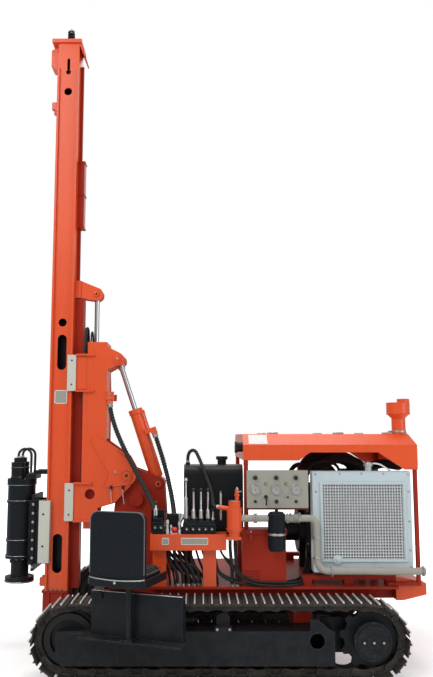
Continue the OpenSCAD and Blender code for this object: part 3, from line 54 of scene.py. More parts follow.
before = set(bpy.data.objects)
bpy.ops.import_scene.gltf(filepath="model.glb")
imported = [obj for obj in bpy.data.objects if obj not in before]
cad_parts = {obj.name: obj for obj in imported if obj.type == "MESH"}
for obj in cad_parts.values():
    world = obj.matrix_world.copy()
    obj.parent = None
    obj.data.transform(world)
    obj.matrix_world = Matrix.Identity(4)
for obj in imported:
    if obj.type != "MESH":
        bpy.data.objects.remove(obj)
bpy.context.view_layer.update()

# Directions, of which near looks to the operator's side
UP, DOWN, NEAR, FAR, REAR, FRONT = (0, 0, 1), (0, 0, -1), (0, -1, 0), (0, 1, 0), (1, 0, 0), (-1, 0, 0)
SIDES = (-1, 1)


# Places taken from the frame

def corners(node):
    """Lowest and highest corner of a frame node as two arrays."""
    low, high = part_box(node)
    return np.array(low), np.array(high)


TRACK_LOW, TRACK_HIGH = corners("track_left")
FAR_LOW, FAR_HIGH = corners("track_right")
ORIGIN = np.array([(TRACK_LOW[0] + TRACK_HIGH[0]) / 2, (TRACK_LOW[1] + FAR_HIGH[1]) / 2, 0])


def at(x, y, z):
    """A point given in millimetres from the ground under the middle between the tracks."""
    return ORIGIN + np.array([x, y, z]) / 1000


def spots(points):
    """Many points given like the one of at()."""
    return ORIGIN + np.asarray(points, float) / 1000


# Settings that a user would change

def enamel_colour(name, description, default):
    """A colour setting of one finish."""
    return bpy.props.FloatVectorProperty(name=name, description=description, subtype="COLOR", size=3,
                                         min=0, max=1, default=default)


def length_setting(name, description, default):
    """A length in metres."""
    return bpy.props.FloatProperty(name=name, description=description, subtype="DISTANCE", default=default)


def pixel_setting(name, description, default):
    """A length in pixels of the picture."""
    return bpy.props.FloatProperty(name=name, description=description, subtype="PIXEL", default=default)


def share_setting(name, description, default):
    """A share between nothing and all."""
    return bpy.props.FloatProperty(name=name, description=description, subtype="FACTOR", min=0, max=1,
                                   default=default)


class RigPaint(bpy.types.PropertyGroup):
    """Colours of the rig's finishes."""
    orange: enamel_colour("Orange", "Enamel of the mast, hood and bench", (0.82, 0.090, 0.014))
    red: enamel_colour("Red", "Enamel of the chassis and the boxes on it", (0.38, 0.030, 0.014))
    navy: enamel_colour("Navy", "Enamel of the track frames, seat and platform", (0.007, 0.010, 0.014))
    black: enamel_colour("Black", "Enamel of the drive head and tank", (0.006, 0.008, 0.010))
    cream: enamel_colour("Cream", "Enamel of the air pipe", (0.36, 0.35, 0.30))
    ivory: enamel_colour("Ivory", "Enamel of the wear clamps", (0.64, 0.64, 0.56))
    silver: enamel_colour("Silver", "Paint of the radiator", (0.56, 0.66, 0.695))
    guard: enamel_colour("Guard", "Enamel of the radiator's perforated guard", (0.80, 0.84, 0.85))
    grey: enamel_colour("Grey", "Face of the gauge panel", (0.36, 0.355, 0.30))
    dust: share_setting("Dust", "Dust on faces that look up and near the ground", 0.25)
    wear: share_setting("Wear", "Chips and rubbed edges of the enamel", 0.45)


class RigStage(bpy.types.PropertyGroup):
    """Camera, lights and floor."""
    focal_px: pixel_setting("Focal length", "Focal length in pixels of the picture", 700.0)
    centre_x_px: pixel_setting("Centre across", "Optical centre from the picture's left edge", 200.0)
    centre_y_px: pixel_setting("Centre down", "Optical centre from the picture's top edge", 352.0)
    pitch: bpy.props.FloatProperty(
        name="Pitch", description="Upward tilt of the camera", subtype="ANGLE", default=math.radians(6.9))
    height: length_setting("Height", "Height of the camera above the ground", 1.87)
    distance: length_setting("Distance", "Distance from the near track's outer face", 5.57)
    aside: length_setting("Aside", "Place of the camera along the rig from the track's middle", -0.156)
    picture_px: bpy.props.IntVectorProperty(
        name="Picture", description="Width and height of the picture", subtype="XYZ", size=2,
        default=(433, 677))
    sky: bpy.props.FloatProperty(
        name="Sky", description="Strength of the even light from all round", min=0, default=0.46)
    key_power: bpy.props.FloatProperty(
        name="Key light", description="Power of the large soft lamp", subtype="POWER", default=405.0)


class RigSizes(bpy.types.PropertyGroup):
    """Sizes of the fine pieces."""
    chain_pitch: length_setting("Track pitch", "Distance from pin to pin of the track", 0.135)
    shoe_count: bpy.props.IntProperty(name="Shoes", description="Shoes on each track", default=46)
    sprocket_teeth: bpy.props.IntProperty(
        name="Teeth", description="Teeth that would fit round a whole sprocket", default=11)
    feed_links: bpy.props.IntProperty(name="Feed chain", description="Links of the mast's chain", default=96)
    grille_columns: bpy.props.IntProperty(name="Grille columns", description="Openings across", default=30)
    grille_rows: bpy.props.IntProperty(
        name="Grille rows", description="Openings from top to bottom", default=25)


# Shapes: each is (points, list of face arrays)

def join(*shapes):
    """One shape out of several: the points are stacked, and each shape's faces count on from them."""
    points, faces, start = [], [], 0
    for p, f in shapes:
        points.append(p)
        faces += [x + start for x in f]
        start += len(p)
    return np.concatenate(points), faces


def lattice(rings, around, loop=False):
    """Faces between rings of points: ring i, point j goes to ring i + 1, point j + 1, and the end rings
    are closed with one face each."""
    i, j = np.meshgrid(np.arange(rings if loop else rings - 1), np.arange(around), indexing="ij")
    a = i * around + j
    b = i * around + (j + 1) % around
    c = (i + 1) % rings * around + (j + 1) % around
    d = (i + 1) % rings * around + j
    faces = [np.stack([a, b, c, d], -1).reshape(-1, 4)]
    if not loop:
        faces += [np.arange(around)[None, ::-1], (rings - 1) * around + np.arange(around)[None]]
    return faces


def circle(radius, sides, turn=0.0):
    """Points of a circle: radius times the cosine and sine of equal steps of angle."""
    a = (np.arange(sides) + turn) * 2 * math.pi / sides
    return radius * np.stack([np.cos(a), np.sin(a)], -1)


def sweep(profile, path, scale=None, up=None, loop=False):
    """Carries a closed profile along a path. Each ring is the path's point plus the profile's first
    coordinate along the side direction and its second along the up direction, both square to the path.
    Without an up direction the one that the path leaves least is taken."""
    path = np.asarray(path, float)
    ahead = np.roll(path, -1, 0) - np.roll(path, 1, 0)
    if not loop:
        ahead[0], ahead[-1] = path[1] - path[0], path[-1] - path[-2]
    ahead /= np.linalg.norm(ahead, axis=1)[:, None]
    if up is None:
        up = np.linalg.eigh(ahead.T @ ahead)[1][:, 0]
    side = np.cross(ahead, up)
    side /= np.linalg.norm(side, axis=1)[:, None]
    top = np.cross(side, ahead)
    ring = np.asarray(profile)[None]
    if scale is not None:
        ring = ring * np.asarray(scale, float).reshape(len(path), 1, -1)
    points = path[:, None] + ring[..., :1] * side[:, None] + ring[..., 1:] * top[:, None]
    faces = lattice(len(path), len(profile), loop)
    return points.reshape(-1, 3), [f[:, ::-1] for f in faces]


def tube(path, radius, sides=16, scale=None, loop=False):
    """A round rod or hose: a circle carried along a path."""
    return sweep(circle(radius, sides), path, scale, loop=loop)


def turned(profile, foot, axis, sides=32, hollow=False):
    """A turned piece: pairs of (height, radius) swung once round an axis that starts at foot. A hollow one
    is a ring, whose last pair joins its first."""
    profile = np.asarray(profile, float)
    axis = np.asarray(axis, float) / np.linalg.norm(axis)
    path = np.asarray(foot) + profile[:, :1] * axis
    other = np.eye(3)[np.argmin(np.abs(axis))]
    side = np.cross(axis, other)
    side /= np.linalg.norm(side)
    top = np.cross(axis, side)
    ring = circle(1.0, sides)
    points = path[:, None] + profile[:, 1, None, None] * (ring[:, :1] * side + ring[:, 1:] * top)[None]
    return points.reshape(-1, 3), lattice(len(profile), sides, hollow)


def block(low, high, cut):
    """A box with cut edges: a rectangle with cut corners carried upwards, drawn in at both ends."""
    low, high = np.minimum(low, high), np.maximum(low, high)
    cut = min(cut, 0.45 * float(np.min(high - low)))
    middle, half = (low + high) / 2, (high - low) / 2
    insets = np.array([cut, 0, 0, cut])
    heights = np.array([-half[2], cut - half[2], half[2] - cut, half[2]])
    sx = np.array([1, 1, 1, -1, -1, -1, -1, 1])
    sy = np.array([-1, 1, 1, 1, 1, -1, -1, -1])
    cx = np.array([0, 0, 1, 1, 0, 0, 1, 1])
    x = sx * (half[0] - insets[:, None] - cut * cx)
    y = sy * (half[1] - insets[:, None] - cut * (1 - cx))
    z = np.broadcast_to(heights[:, None], x.shape)
    points = middle + np.stack([x, y, z], -1)
    return points.reshape(-1, 3), lattice(4, 8)


def plate(outline, start, end, axis="y", cut=0.0):
    """A flat plate: an outline carried along one axis. With a cut its rim is drawn in at both ends
    towards its middle."""
    outline = np.asarray(outline, float)
    turn = 1 if np.sum(np.cross(outline, np.roll(outline, -1, 0))) > 0 else -1
    outline = outline[::turn]
    heights, insets = [start, end], [0.0, 0.0]
    if cut:
        heights, insets = [start, start + cut, end - cut, end], [cut, 0.0, 0.0, cut]
    before = outline - np.roll(outline, 1, 0)
    after = np.roll(outline, -1, 0) - outline
    lean = before / np.linalg.norm(before, axis=1)[:, None] + after / np.linalg.norm(after, axis=1)[:, None]
    out = np.stack([lean[:, 1], -lean[:, 0]], -1)
    out /= np.maximum(np.linalg.norm(out, axis=1), 1e-9)[:, None]
    rings = outline[None] - np.array(insets)[:, None, None] * out[None]
    h = np.broadcast_to(np.array(heights)[:, None], rings.shape[:2])
    a, b = rings[..., 0], rings[..., 1]
    points = {"z": np.stack([a, b, h], -1), "y": np.stack([a, h, b], -1), "x": np.stack([h, a, b], -1)}[axis]
    faces = lattice(len(heights), len(outline))
    if axis == "y":
        faces = [f[:, ::-1] for f in faces]
    return points.reshape(-1, 3), faces


def repeat(shape, places, turns=None):
    """Copies of one shape at many places. A turn is a 3 by 3 matrix for each place."""
    points, faces = shape
    places = np.asarray(places, float).reshape(-1, 3)
    if turns is None:
        moved = places[:, None] + points[None]
    else:
        moved = places[:, None] + np.einsum("nij,kj->nki", np.asarray(turns), points)
    step = (np.arange(len(places)) * len(points))[:, None, None]
    return moved.reshape(-1, 3), [(f[None] + step).reshape(-1, f.shape[1]) for f in faces]


def bolts(places, axis, radius, height=None):
    """Six-sided bolt heads on round washers, with their faces looking along the axis."""
    height = height or radius * 0.7
    washer = turned([(0, radius * 1.25), (height * 0.25, radius * 1.25)], (0, 0, 0), axis, 16)
    profile = [(height * 0.25, radius), (height * 0.85, radius), (height, radius * 0.86)]
    head = turned(profile, (0, 0, 0), axis, 6)
    return repeat(join(washer, head), places)


def smooth_path(points, steps=8):
    """A smooth curve through points: each stretch is a cubic whose slopes come from the neighbours."""
    p = np.asarray(points, float)
    ends = np.concatenate([[2 * p[0] - p[1]], p, [2 * p[-1] - p[-2]]])
    t = np.linspace(0, 1, steps, endpoint=False)[None, :, None]
    a, b, c, d = ends[:-3, None], ends[1:-2, None], ends[2:-1, None], ends[3:, None]
    square, cube = 2 * a - 5 * b + 4 * c - d, 3 * b - a - 3 * c + d
    curve = 0.5 * (2 * b + (c - a) * t + square * t ** 2 + cube * t ** 3)
    return np.concatenate([curve.reshape(-1, 3), p[-1:]])


# Short forms in millimetres, measured like at()

def box(x0, x1, y0, y1, z0, z1, cut=2.0):
    """A block given by its sides."""
    return block(at(x0, y0, z0), at(x1, y1, z1), cut / 1000)


def slab(outline, start, end, axis="y", cut=0.0):
    """A plate between two places on its axis, with its outline square to that axis."""
    k = "xyz".index(axis)
    flat = [n for n in range(3) if n != k]
    outline = ORIGIN[flat] + np.asarray(outline, float) / 1000
    return plate(outline, ORIGIN[k] + start / 1000, ORIGIN[k] + end / 1000, axis, cut / 1000)


def post(foot, axis, profile, sides=32):
    """A turned piece: pairs of height and radius along the axis from its foot."""
    return turned(np.asarray(profile, float) / 1000, at(*foot), axis, sides)


def nut(foot, axis, radius, tall, cut=2.0):
    """A six-sided fitting: the full radius up to its height, and drawn in by the cut over 2 mm more."""
    return post(foot, axis, [(0, radius), (tall, radius), (tall + 2, radius - cut)], 6)


def ring(foot, axis, inner, outer, height, sides=40):
    """A flat ring with its outer edges cut."""
    cut = min(2.0, (outer - inner) / 4, height / 3)
    profile = [(0, inner), (0, outer), (height - cut, outer), (height, outer - cut), (height, inner)]
    return turned(np.asarray(profile, float) / 1000, at(*foot), axis, sides, True)


def heads(points, axis, radius, height=None):
    """Bolt heads at points."""
    return bolts(spots(points), axis, radius / 1000, height and height / 1000)


def grid(*rows):
    """Every combination of values for x, y and z. A row is one value or several."""
    x, y, z = (np.atleast_1d(r) for r in rows)
    return [(a, b, c) for a in x for b in y for c in z]


def around(centre, radius, count, axis="y", turn=0.0):
    """Points in even steps on a circle square to one axis."""
    c, s = (radius * circle(1.0, count, turn)).T
    flat = np.zeros(count)
    step = {"x": (flat, c, s), "y": (c, flat, s), "z": (c, s, flat)}[axis]
    return [tuple(p) for p in np.asarray(centre, float) + np.stack(step, -1)]


def shifted(points, x=0, y=0):
    """Points moved along the rig and across it."""
    return [(a + x, b + y, c) for a, b, c in points]


def both(points):
    """Points and their mirror images on the far side."""
    return list(points) + [(x, -y, z) for x, y, z in points]


def mirrored(*shapes):
    """Shapes and their mirror images on the far side of the rig's middle plane."""
    points, faces = join(*shapes)
    other = points * [1, -1, 1] + [0, 2 * ORIGIN[1], 0]
    return join((points, faces), (other, [f[:, ::-1] for f in faces]))


def rod(points, radius, sides=8, smooth=False, loop=False):
    """A plain round line straight from point to point, or on the smooth curve through them."""
    return tube(spots(smooth_path(points) if smooth else points), radius / 1000, sides, loop=loop)


def even_line(points, step):
    """The smooth curve through points in millimetres, cut in even steps and given in metres."""
    path = smooth_path(points, 12)
    lengths = np.concatenate([[0], np.cumsum(np.linalg.norm(np.diff(path, axis=0), axis=1))])
    steps = np.linspace(0, lengths[-1], max(4, int(lengths[-1] / step)) + 1)
    return spots(np.stack([np.interp(steps, lengths, path[:, k]) for k in range(3)], -1))


def rippled(line, radius, depth, sides):
    """A corrugated tube on a line in metres whose points lie a quarter of a rib apart: two rings of the
    full radius, then two that are the depth lower, both in millimetres."""
    wave = np.where(np.arange(len(line)) % 4 < 2, radius, radius - depth)
    return tube(line, 0.001, sides, wave[:, None])


def ribbed(points, radius, pitch=8.0, depth=1.6, sides=12):
    """A corrugated hose on the smooth curve through points."""
    return rippled(even_line(points, pitch / 4), radius, depth, sides)


def finish_named(name):
    """A finish of this file. Its own prefix keeps it apart from the plain materials that the frame brings."""
    return bpy.data.materials[f"rig_{name}"]


def put(name, parts, body, replaces=(), tips=None, smooth=35):
    """Makes one piece out of (shape, finish) pairs and lets it ride on its body. A body given as two names
    with two points is not used: such a piece rides on no body. Tips are the points' shares of bare metal."""
    mesh = bpy.data.meshes.new(name)
    points, faces = join(*[shape for shape, _ in parts])
    mesh.from_pydata(points.tolist(), [], [q for f in faces for q in f.tolist()])
    index = np.concatenate([np.full(sum(len(f) for f in shape[1]), i) for i, (shape, _) in enumerate(parts)])
    mesh.polygons.foreach_set("material_index", index.astype(np.int32))
    mesh.polygons.foreach_set("use_smooth", np.ones(len(index), bool))
    mesh.set_sharp_from_angle(angle=math.radians(smooth))
    for _, finish in parts:
        mesh.materials.append(finish_named(finish))
    if tips is not None:
        mesh.attributes.new("bare", "FLOAT", "POINT").data.foreach_set("value", tips.astype(np.float32))
    mesh.update()
    piece = bpy.data.objects.new(name, mesh)
    bpy.context.scene.collection.objects.link(piece)
    if isinstance(body, str):
        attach(piece, body)
    else:
        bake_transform(piece)
    if replaces:
        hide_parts(*replaces)
    return piece


# Finishes

class Tree:
    """A node tree with short calls for adding nodes and joining their sockets."""

    def __init__(self, tree):
        self.tree = tree

    def feed(self, node, inputs):
        """Joins a node's inputs to sockets, or sets them to plain values."""
        for key, value in inputs.items():
            if isinstance(value, bpy.types.NodeSocket):
                self.tree.links.new(value, node.inputs[key])
            else:
                node.inputs[key].default_value = value

    def add(self, kind, inputs=None, **settings):
        """A new node with its settings and inputs."""
        node = self.tree.nodes.new(kind)
        for key, value in settings.items():
            setattr(node, key, value)
        self.feed(node, inputs or {})
        return node

    def math(self, operation, a, b, clamp=False):
        """One sum, product or the like of two values."""
        return self.add("ShaderNodeMath", {0: a, 1: b}, operation=operation, use_clamp=clamp).outputs[0]

    def ramp(self, value, low, high):
        """0 below low, 1 above high and even between."""
        node = self.add("ShaderNodeMapRange", {"Value": value, "From Min": low, "From Max": high})
        return node.outputs["Result"]

    def place(self):
        """The piece's own coordinates."""
        return self.add("ShaderNodeTexCoord").outputs["Object"]

    def noise(self, place, scale, detail, rough):
        """Cloudy values: noise with more fine detail the higher its detail and roughness."""
        inputs = {"Vector": place, "Scale": scale, "Detail": detail, "Roughness": rough}
        return self.add("ShaderNodeTexNoise", inputs).outputs["Fac"]

    def mix(self, share, a, b):
        """Colour a where the share is 0 and colour b where it is 1."""
        a, b = (c if isinstance(c, bpy.types.NodeSocket) else (*c[:3], 1) for c in (a, b))
        # Sockets 6 and 7 of the node are its colours, and output 2 is the mixed one
        return self.add("ShaderNodeMix", {"Factor": share, 6: a, 7: b}, data_type="RGBA").outputs[2]

    def bumped(self, height, strength, distance=0.001, **normal):
        """The normal leaned by the slope of a height."""
        inputs = {"Strength": strength, "Distance": distance, "Height": height, **normal}
        return self.add("ShaderNodeBump", inputs).outputs[0]


def new_group(name, inputs, outputs):
    """A node group with named sockets, given as (name, kind, default)."""
    tree = bpy.data.node_groups.new(name, "ShaderNodeTree")
    for label, kind, default in inputs:
        socket = tree.interface.new_socket(name=label, in_out="INPUT", socket_type=f"NodeSocket{kind}")
        socket.default_value = default
    for label, kind in outputs:
        tree.interface.new_socket(name=label, in_out="OUTPUT", socket_type=f"NodeSocket{kind}")
    t = Tree(tree)
    return t, t.add("NodeGroupInput").outputs, t.add("NodeGroupOutput")


def worn_edges_group():
    """Rubbed edges: where the rounded normal leaves the face's own one an edge is near, and grain
    breaks the line up."""
    t, given, out = new_group(
        "worn_edges", [("Width", "Float", 0.003), ("Amount", "Float", 0.5), ("Grain", "Float", 30.0)],
        [("Mask", "Float"), ("Normal", "Vector")])
    soft = t.add("ShaderNodeBevel", {"Radius": given["Width"]}, samples=6).outputs[0]
    face = t.add("ShaderNodeNewGeometry").outputs["Normal"]
    same = t.add("ShaderNodeVectorMath", {0: soft, 1: face}, operation="DOT_PRODUCT").outputs["Value"]
    edge = t.ramp(t.math("SUBTRACT", 1.0, same), 0.02, 0.2)
    grain = t.noise(t.place(), given["Grain"], 6.0, 0.7)
    broken = t.ramp(t.math("ADD", grain, t.math("MULTIPLY", given["Amount"], 0.3)), 0.55, 0.68)
    t.feed(out, {"Mask": t.math("MULTIPLY", edge, broken, True), "Normal": soft})


def weather_group():
    """Dust where a face looks up or lies low, a slow drift of tone, and noise drawn out into upright runs
    of grime."""
    t, given, out = new_group("weather", [("Dust", "Float", 0.3), ("Reach", "Float", 0.9)],
                              [("Dust", "Float"), ("Tone", "Float"), ("Grime", "Float")])
    place = t.place()
    height = t.add("ShaderNodeSeparateXYZ", {0: place}).outputs["Z"]
    normal = t.add("ShaderNodeNewGeometry").outputs["Normal"]
    upward = t.add("ShaderNodeSeparateXYZ", {0: normal}).outputs["Z"]
    patches = t.noise(place, 3.5, 6.0, 0.65)
    splashes = t.noise(place, 9.0, 8.0, 0.7)
    lying = t.math("MULTIPLY", t.ramp(upward, 0.3, 1.0), t.ramp(patches, 0.3, 0.75))
    low = t.math("MULTIPLY", t.ramp(height, given["Reach"], 0.05), t.ramp(splashes, 0.35, 0.8))
    runs = t.add("ShaderNodeMapping", {"Vector": place, "Scale": (22.0, 22.0, 1.6)}).outputs[0]
    t.feed(out, {"Dust": t.math("MULTIPLY", t.math("MAXIMUM", lying, low), given["Dust"], True),
                 "Tone": t.noise(place, 1.1, 3.0, 0.5),
                 "Grime": t.ramp(t.noise(runs, 1.0, 4.0, 0.6), 0.52, 0.85)})


def grain_group():
    """Fine unevenness of a coat or a casting: broad waves plus a fine grain."""
    t, given, out = new_group(
        "coat_grain", [("Waves", "Float", 60.0), ("Fine", "Float", 420.0), ("Share", "Float", 0.4)],
        [("Height", "Float")])
    place = t.place()
    waves = t.noise(place, given["Waves"], 2.0, 0.4)
    fine = t.noise(place, given["Fine"], 3.0, 0.6)
    t.feed(out, {"Height": t.math("ADD", waves, t.math("MULTIPLY", fine, given["Share"]))})


def group(t, name, **values):
    """Places a shared group in a material with its own values."""
    node = t.add("ShaderNodeGroup", node_tree=bpy.data.node_groups[name])
    t.feed(node, values)
    return node.outputs


def new_finish(name):
    """A new material of this file with its tree and its shader."""
    material = bpy.data.materials.new(f"rig_{name}")
    material.use_nodes = True
    return Tree(material.node_tree), material.node_tree.nodes["Principled BSDF"]


def shaded(colour, factor):
    """A colour times a factor."""
    return tuple(c * factor for c in colour)


DRY_DUST, DARK_DUST, SOIL = (0.34, 0.30, 0.25), (0.20, 0.18, 0.15), (0.13, 0.105, 0.08)
OLD_OIL = (0.05, 0.045, 0.04)


def enamel(name, colour, wear, dust, rough=0.32, under=(0.10, 0.09, 0.085), depth=0.10, bump=0.05,
           width=0.0035, coat=0.30, gloss=0.38):
    """Sprayed enamel over steel: slow drift of tone, faint runs of grime, dust, and primer at worn edges."""
    t, shader = new_finish(name)
    edges = group(t, "worn_edges", Width=width, Amount=wear)
    air = group(t, "weather", Dust=dust)
    light = tuple(min(1.0, c * (1 + depth) + 0.01 * depth) for c in colour)
    tone = t.mix(air["Tone"], shaded(colour, 1 - depth), light)
    grimy = t.mix(t.math("MULTIPLY", air["Grime"], 0.22), tone, shaded(colour, 0.45))
    dusty = t.mix(air["Dust"], grimy, DRY_DUST)
    dull = t.math("MULTIPLY", t.math("ADD", air["Dust"], edges["Mask"]), 0.3)
    height = group(t, "coat_grain")["Height"]
    t.feed(shader, {"Base Color": t.mix(t.math("MULTIPLY", edges["Mask"], 0.75), dusty, under),
                    "Roughness": t.math("ADD", rough, dull, True),
                    "Normal": t.bumped(height, bump, Normal=edges["Normal"]),
                    "Specular IOR Level": gloss, "Coat Weight": coat, "Coat Roughness": 0.18})


def metal(name, colour, rough, stain=0.25):
    """Bare metal: fine brushed unevenness with darker stains."""
    t, shader = new_finish(name)
    place = t.place()
    stains = t.math("MULTIPLY", t.ramp(t.noise(place, 14.0, 8.0, 0.7), 0.5, 0.78), stain)
    drawn = t.add("ShaderNodeMapping", {"Vector": place, "Scale": (90.0, 90.0, 8.0)}).outputs[0]
    brushed = t.noise(drawn, 4.0, 3.0, 0.6)
    edges = group(t, "worn_edges", Width=0.002, Amount=0.0)
    t.feed(shader, {"Base Color": t.mix(stains, colour, OLD_OIL),
                    "Roughness": t.math("ADD", t.math("MULTIPLY", brushed, 0.16), rough - 0.08, True),
                    "Normal": t.bumped(brushed, 0.06, Normal=edges["Normal"]), "Metallic": 1.0})


def rubber(name, colour, rough=0.62):
    """Rubber or grained plastic: fine grain, and dust on what looks up."""
    t, shader = new_finish(name)
    air = group(t, "weather", Dust=0.2)
    grain = group(t, "coat_grain", Waves=180.0, Fine=900.0, Share=0.8)["Height"]
    tone = t.mix(air["Tone"], shaded(colour, 0.75), shaded(colour, 1.35))
    t.feed(shader, {"Base Color": t.mix(air["Dust"], tone, DARK_DUST),
                    "Roughness": t.math("ADD", rough, t.math("MULTIPLY", grain, 0.1), True),
                    "Normal": t.bumped(grain, 0.12)})


def track_steel(name):
    """Track steel: dark rusty film, dry soil, and bright bare steel where the piece's own value says that
    the ground rubs it."""
    t, shader = new_finish(name)
    place = t.place()
    air = group(t, "weather", Dust=0.55, Reach=0.8)
    bare = t.add("ShaderNodeAttribute", attribute_name="bare").outputs["Fac"]
    patchy = t.math("MULTIPLY", t.noise(place, 45.0, 6.0, 0.7), 0.5)
    shine = t.ramp(t.math("ADD", bare, patchy), 0.62, 0.88)
    rust = t.ramp(t.noise(place, 22.0, 6.0, 0.7), 0.4, 0.7)
    soil = t.mix(air["Dust"], t.mix(rust, (0.012, 0.012, 0.013), (0.045, 0.036, 0.030)), SOIL)
    edges = group(t, "worn_edges", Width=0.003, Amount=0.0)
    height = group(t, "coat_grain", Waves=90.0, Fine=300.0, Share=0.8)["Height"]
    t.feed(shader, {"Base Color": t.mix(shine, soil, (0.80, 0.80, 0.78)),
                    "Metallic": t.math("MULTIPLY", shine, 0.15),
                    "Roughness": t.math("SUBTRACT", 0.62, t.math("MULTIPLY", shine, 0.3), True),
                    "Normal": t.bumped(height, 0.25, 0.002, Normal=edges["Normal"])})


def vinyl(name, colour):
    """Seat vinyl: cells of a leather grain and a slow drift from a darker to a lighter tone."""
    t, shader = new_finish(name)
    place = t.place()
    cells = t.add("ShaderNodeTexVoronoi", {"Vector": place, "Scale": 260.0}, feature="DISTANCE_TO_EDGE")
    grain = t.ramp(cells.outputs["Distance"], 0.0, 0.35)
    tone = t.mix(t.noise(place, 6.0, 5.0, 0.6), shaded(colour, 0.7), shaded(colour, 1.5))
    t.feed(shader, {"Base Color": tone, "Normal": t.bumped(grain, 0.3, 0.0006),
                    "Roughness": t.math("SUBTRACT", 0.55, t.math("MULTIPLY", grain, 0.12))})


def glass(name):
    """Clear cover glass of the gauges, smeared a little."""
    t, shader = new_finish(name)
    smear = t.math("MULTIPLY", t.noise(t.place(), 40.0, 3.0, 0.5), 0.12)
    t.feed(shader, {"Roughness": smear, "Base Color": (1, 1, 1, 1), "Transmission Weight": 1.0})


class RIG_OT_finishes(bpy.types.Operator):
    """Builds the shared effects and every finish of the rig"""
    bl_idname = "rig.finishes"
    bl_label = "Mix the finishes"

    def execute(self, context):
        paint = context.scene.rig_paint
        for shared in (worn_edges_group, weather_group, grain_group):
            shared()
        steel_primer, dark_primer, pale_primer = (0.16, 0.17, 0.18), (0.20, 0.20, 0.20), (0.30, 0.31, 0.32)
        enamel("orange_enamel", paint.orange, wear=paint.wear * 0.6, dust=paint.dust * 0.3)
        # Enamels with the whole wear: name, colour, share of the dust, and what differs from the usual coat
        pale = dict(rough=0.38, under=pale_primer, depth=0.06, gloss=0.28)
        for name, colour, dust, coat in (
                ("red_enamel", paint.red, 0.25, dict(coat=0.0, gloss=0.10)),
                ("navy_enamel", paint.navy, 0.3,
                 dict(rough=0.42, under=steel_primer, depth=0.2, coat=0.02, gloss=0.16)),
                ("black_enamel", paint.black, 0.5,
                 dict(rough=0.38, under=dark_primer, depth=0.2, coat=0.04, gloss=0.18)),
                ("cream_enamel", paint.cream, 0.5, dict(rough=0.4, depth=0.06, gloss=0.28)),
                ("ivory_enamel", paint.ivory, 0.4, dict(rough=0.4, depth=0.05, gloss=0.28)),
                ("silver_paint", paint.silver, 0.5, pale), ("guard_enamel", paint.guard, 0.5, pale)):
            enamel(name, colour, wear=paint.wear, dust=paint.dust * dust, **coat)
        enamel("grey_panel", paint.grey, rough=0.45, wear=0.2, dust=0.1, depth=0.05, bump=0.02, width=0.002)
        enamel("white_plate", (0.78, 0.78, 0.76), rough=0.35, wear=0.2, dust=0.2, depth=0.04, width=0.001)
        metal("chrome_plate", (0.60, 0.61, 0.63), 0.12, stain=0.05)
        metal("bright_steel", (0.62, 0.62, 0.61), 0.30)
        metal("zinc_steel", (0.50, 0.49, 0.46), 0.38, stain=0.4)
        metal("cast_iron", (0.045, 0.045, 0.046), 0.55, stain=0.3)
        metal("cooler_fins", (0.018, 0.019, 0.020), 0.6, stain=0.3)
        rubber("hose_rubber", (0.014, 0.014, 0.015))
        rubber("black_plastic", (0.010, 0.010, 0.011), 0.35)
        # Piping in a lighter grey: real piping whose lighter grey is also a painted highlight along the
        # seat's rims
        rubber("seat_piping_highlight", (0.11, 0.12, 0.125), 0.40)
        rubber("white_plastic", (0.75, 0.75, 0.73), 0.35)
        rubber("red_plastic", (0.62, 0.03, 0.02), 0.32)
        track_steel("track_steel")
        vinyl("seat_vinyl", (0.012, 0.014, 0.017))
        glass("gauge_glass")
        return {"FINISHED"}


# Finish of every frame node, also of those that a finer piece stands for
NODE_FINISH = {
    "orange_enamel": "slide_frame counterweight tilt_barrel lift_barrel mast_beam mast_head lift_bracket "
                     "control_bench lubricator hood pre_cleaner hinge_pins",
    "red_enamel": "chassis mast_seat mast_foot rear_rail battery_box hood_posts beam_gussets tank_stand",
    "navy_enamel": "track_frame_left track_frame_right final_drives gearbox seat_platform seat_shell "
                   "filter_canister",
    "black_enamel": "head_carriage head_motors spindle oil_tank seat_post chain_tensioner valve_bank "
                    "work_lamp",
    "cream_enamel": "air_pipe",
    "ivory_enamel": "wear_clamps head_clamps",
    "silver_paint": "radiator grille",
    "grey_panel": "gauge_panel",
    "chrome_plate": "tilt_rod lift_rod",
    "bright_steel": "levers",
    "cast_iron": "engine idlers rollers feed_chain",
    "hose_rubber": "hose_front hose_rear control_hoses tank_hose head_hoses",
    "track_steel": "track_left track_right",
    "seat_vinyl": "seat_cushion back_cushion",
}


class RIG_OT_dress_frame(bpy.types.Operator):
    """Gives every node of the frame its finish"""
    bl_idname = "rig.dress_frame"
    bl_label = "Finish the frame's nodes"

    def execute(self, context):
        for finish, names in NODE_FINISH.items():
            for name in names.split():
                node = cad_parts[name]
                node.data.materials.clear()
                node.data.materials.append(finish_named(finish))
        return {"FINISHED"}


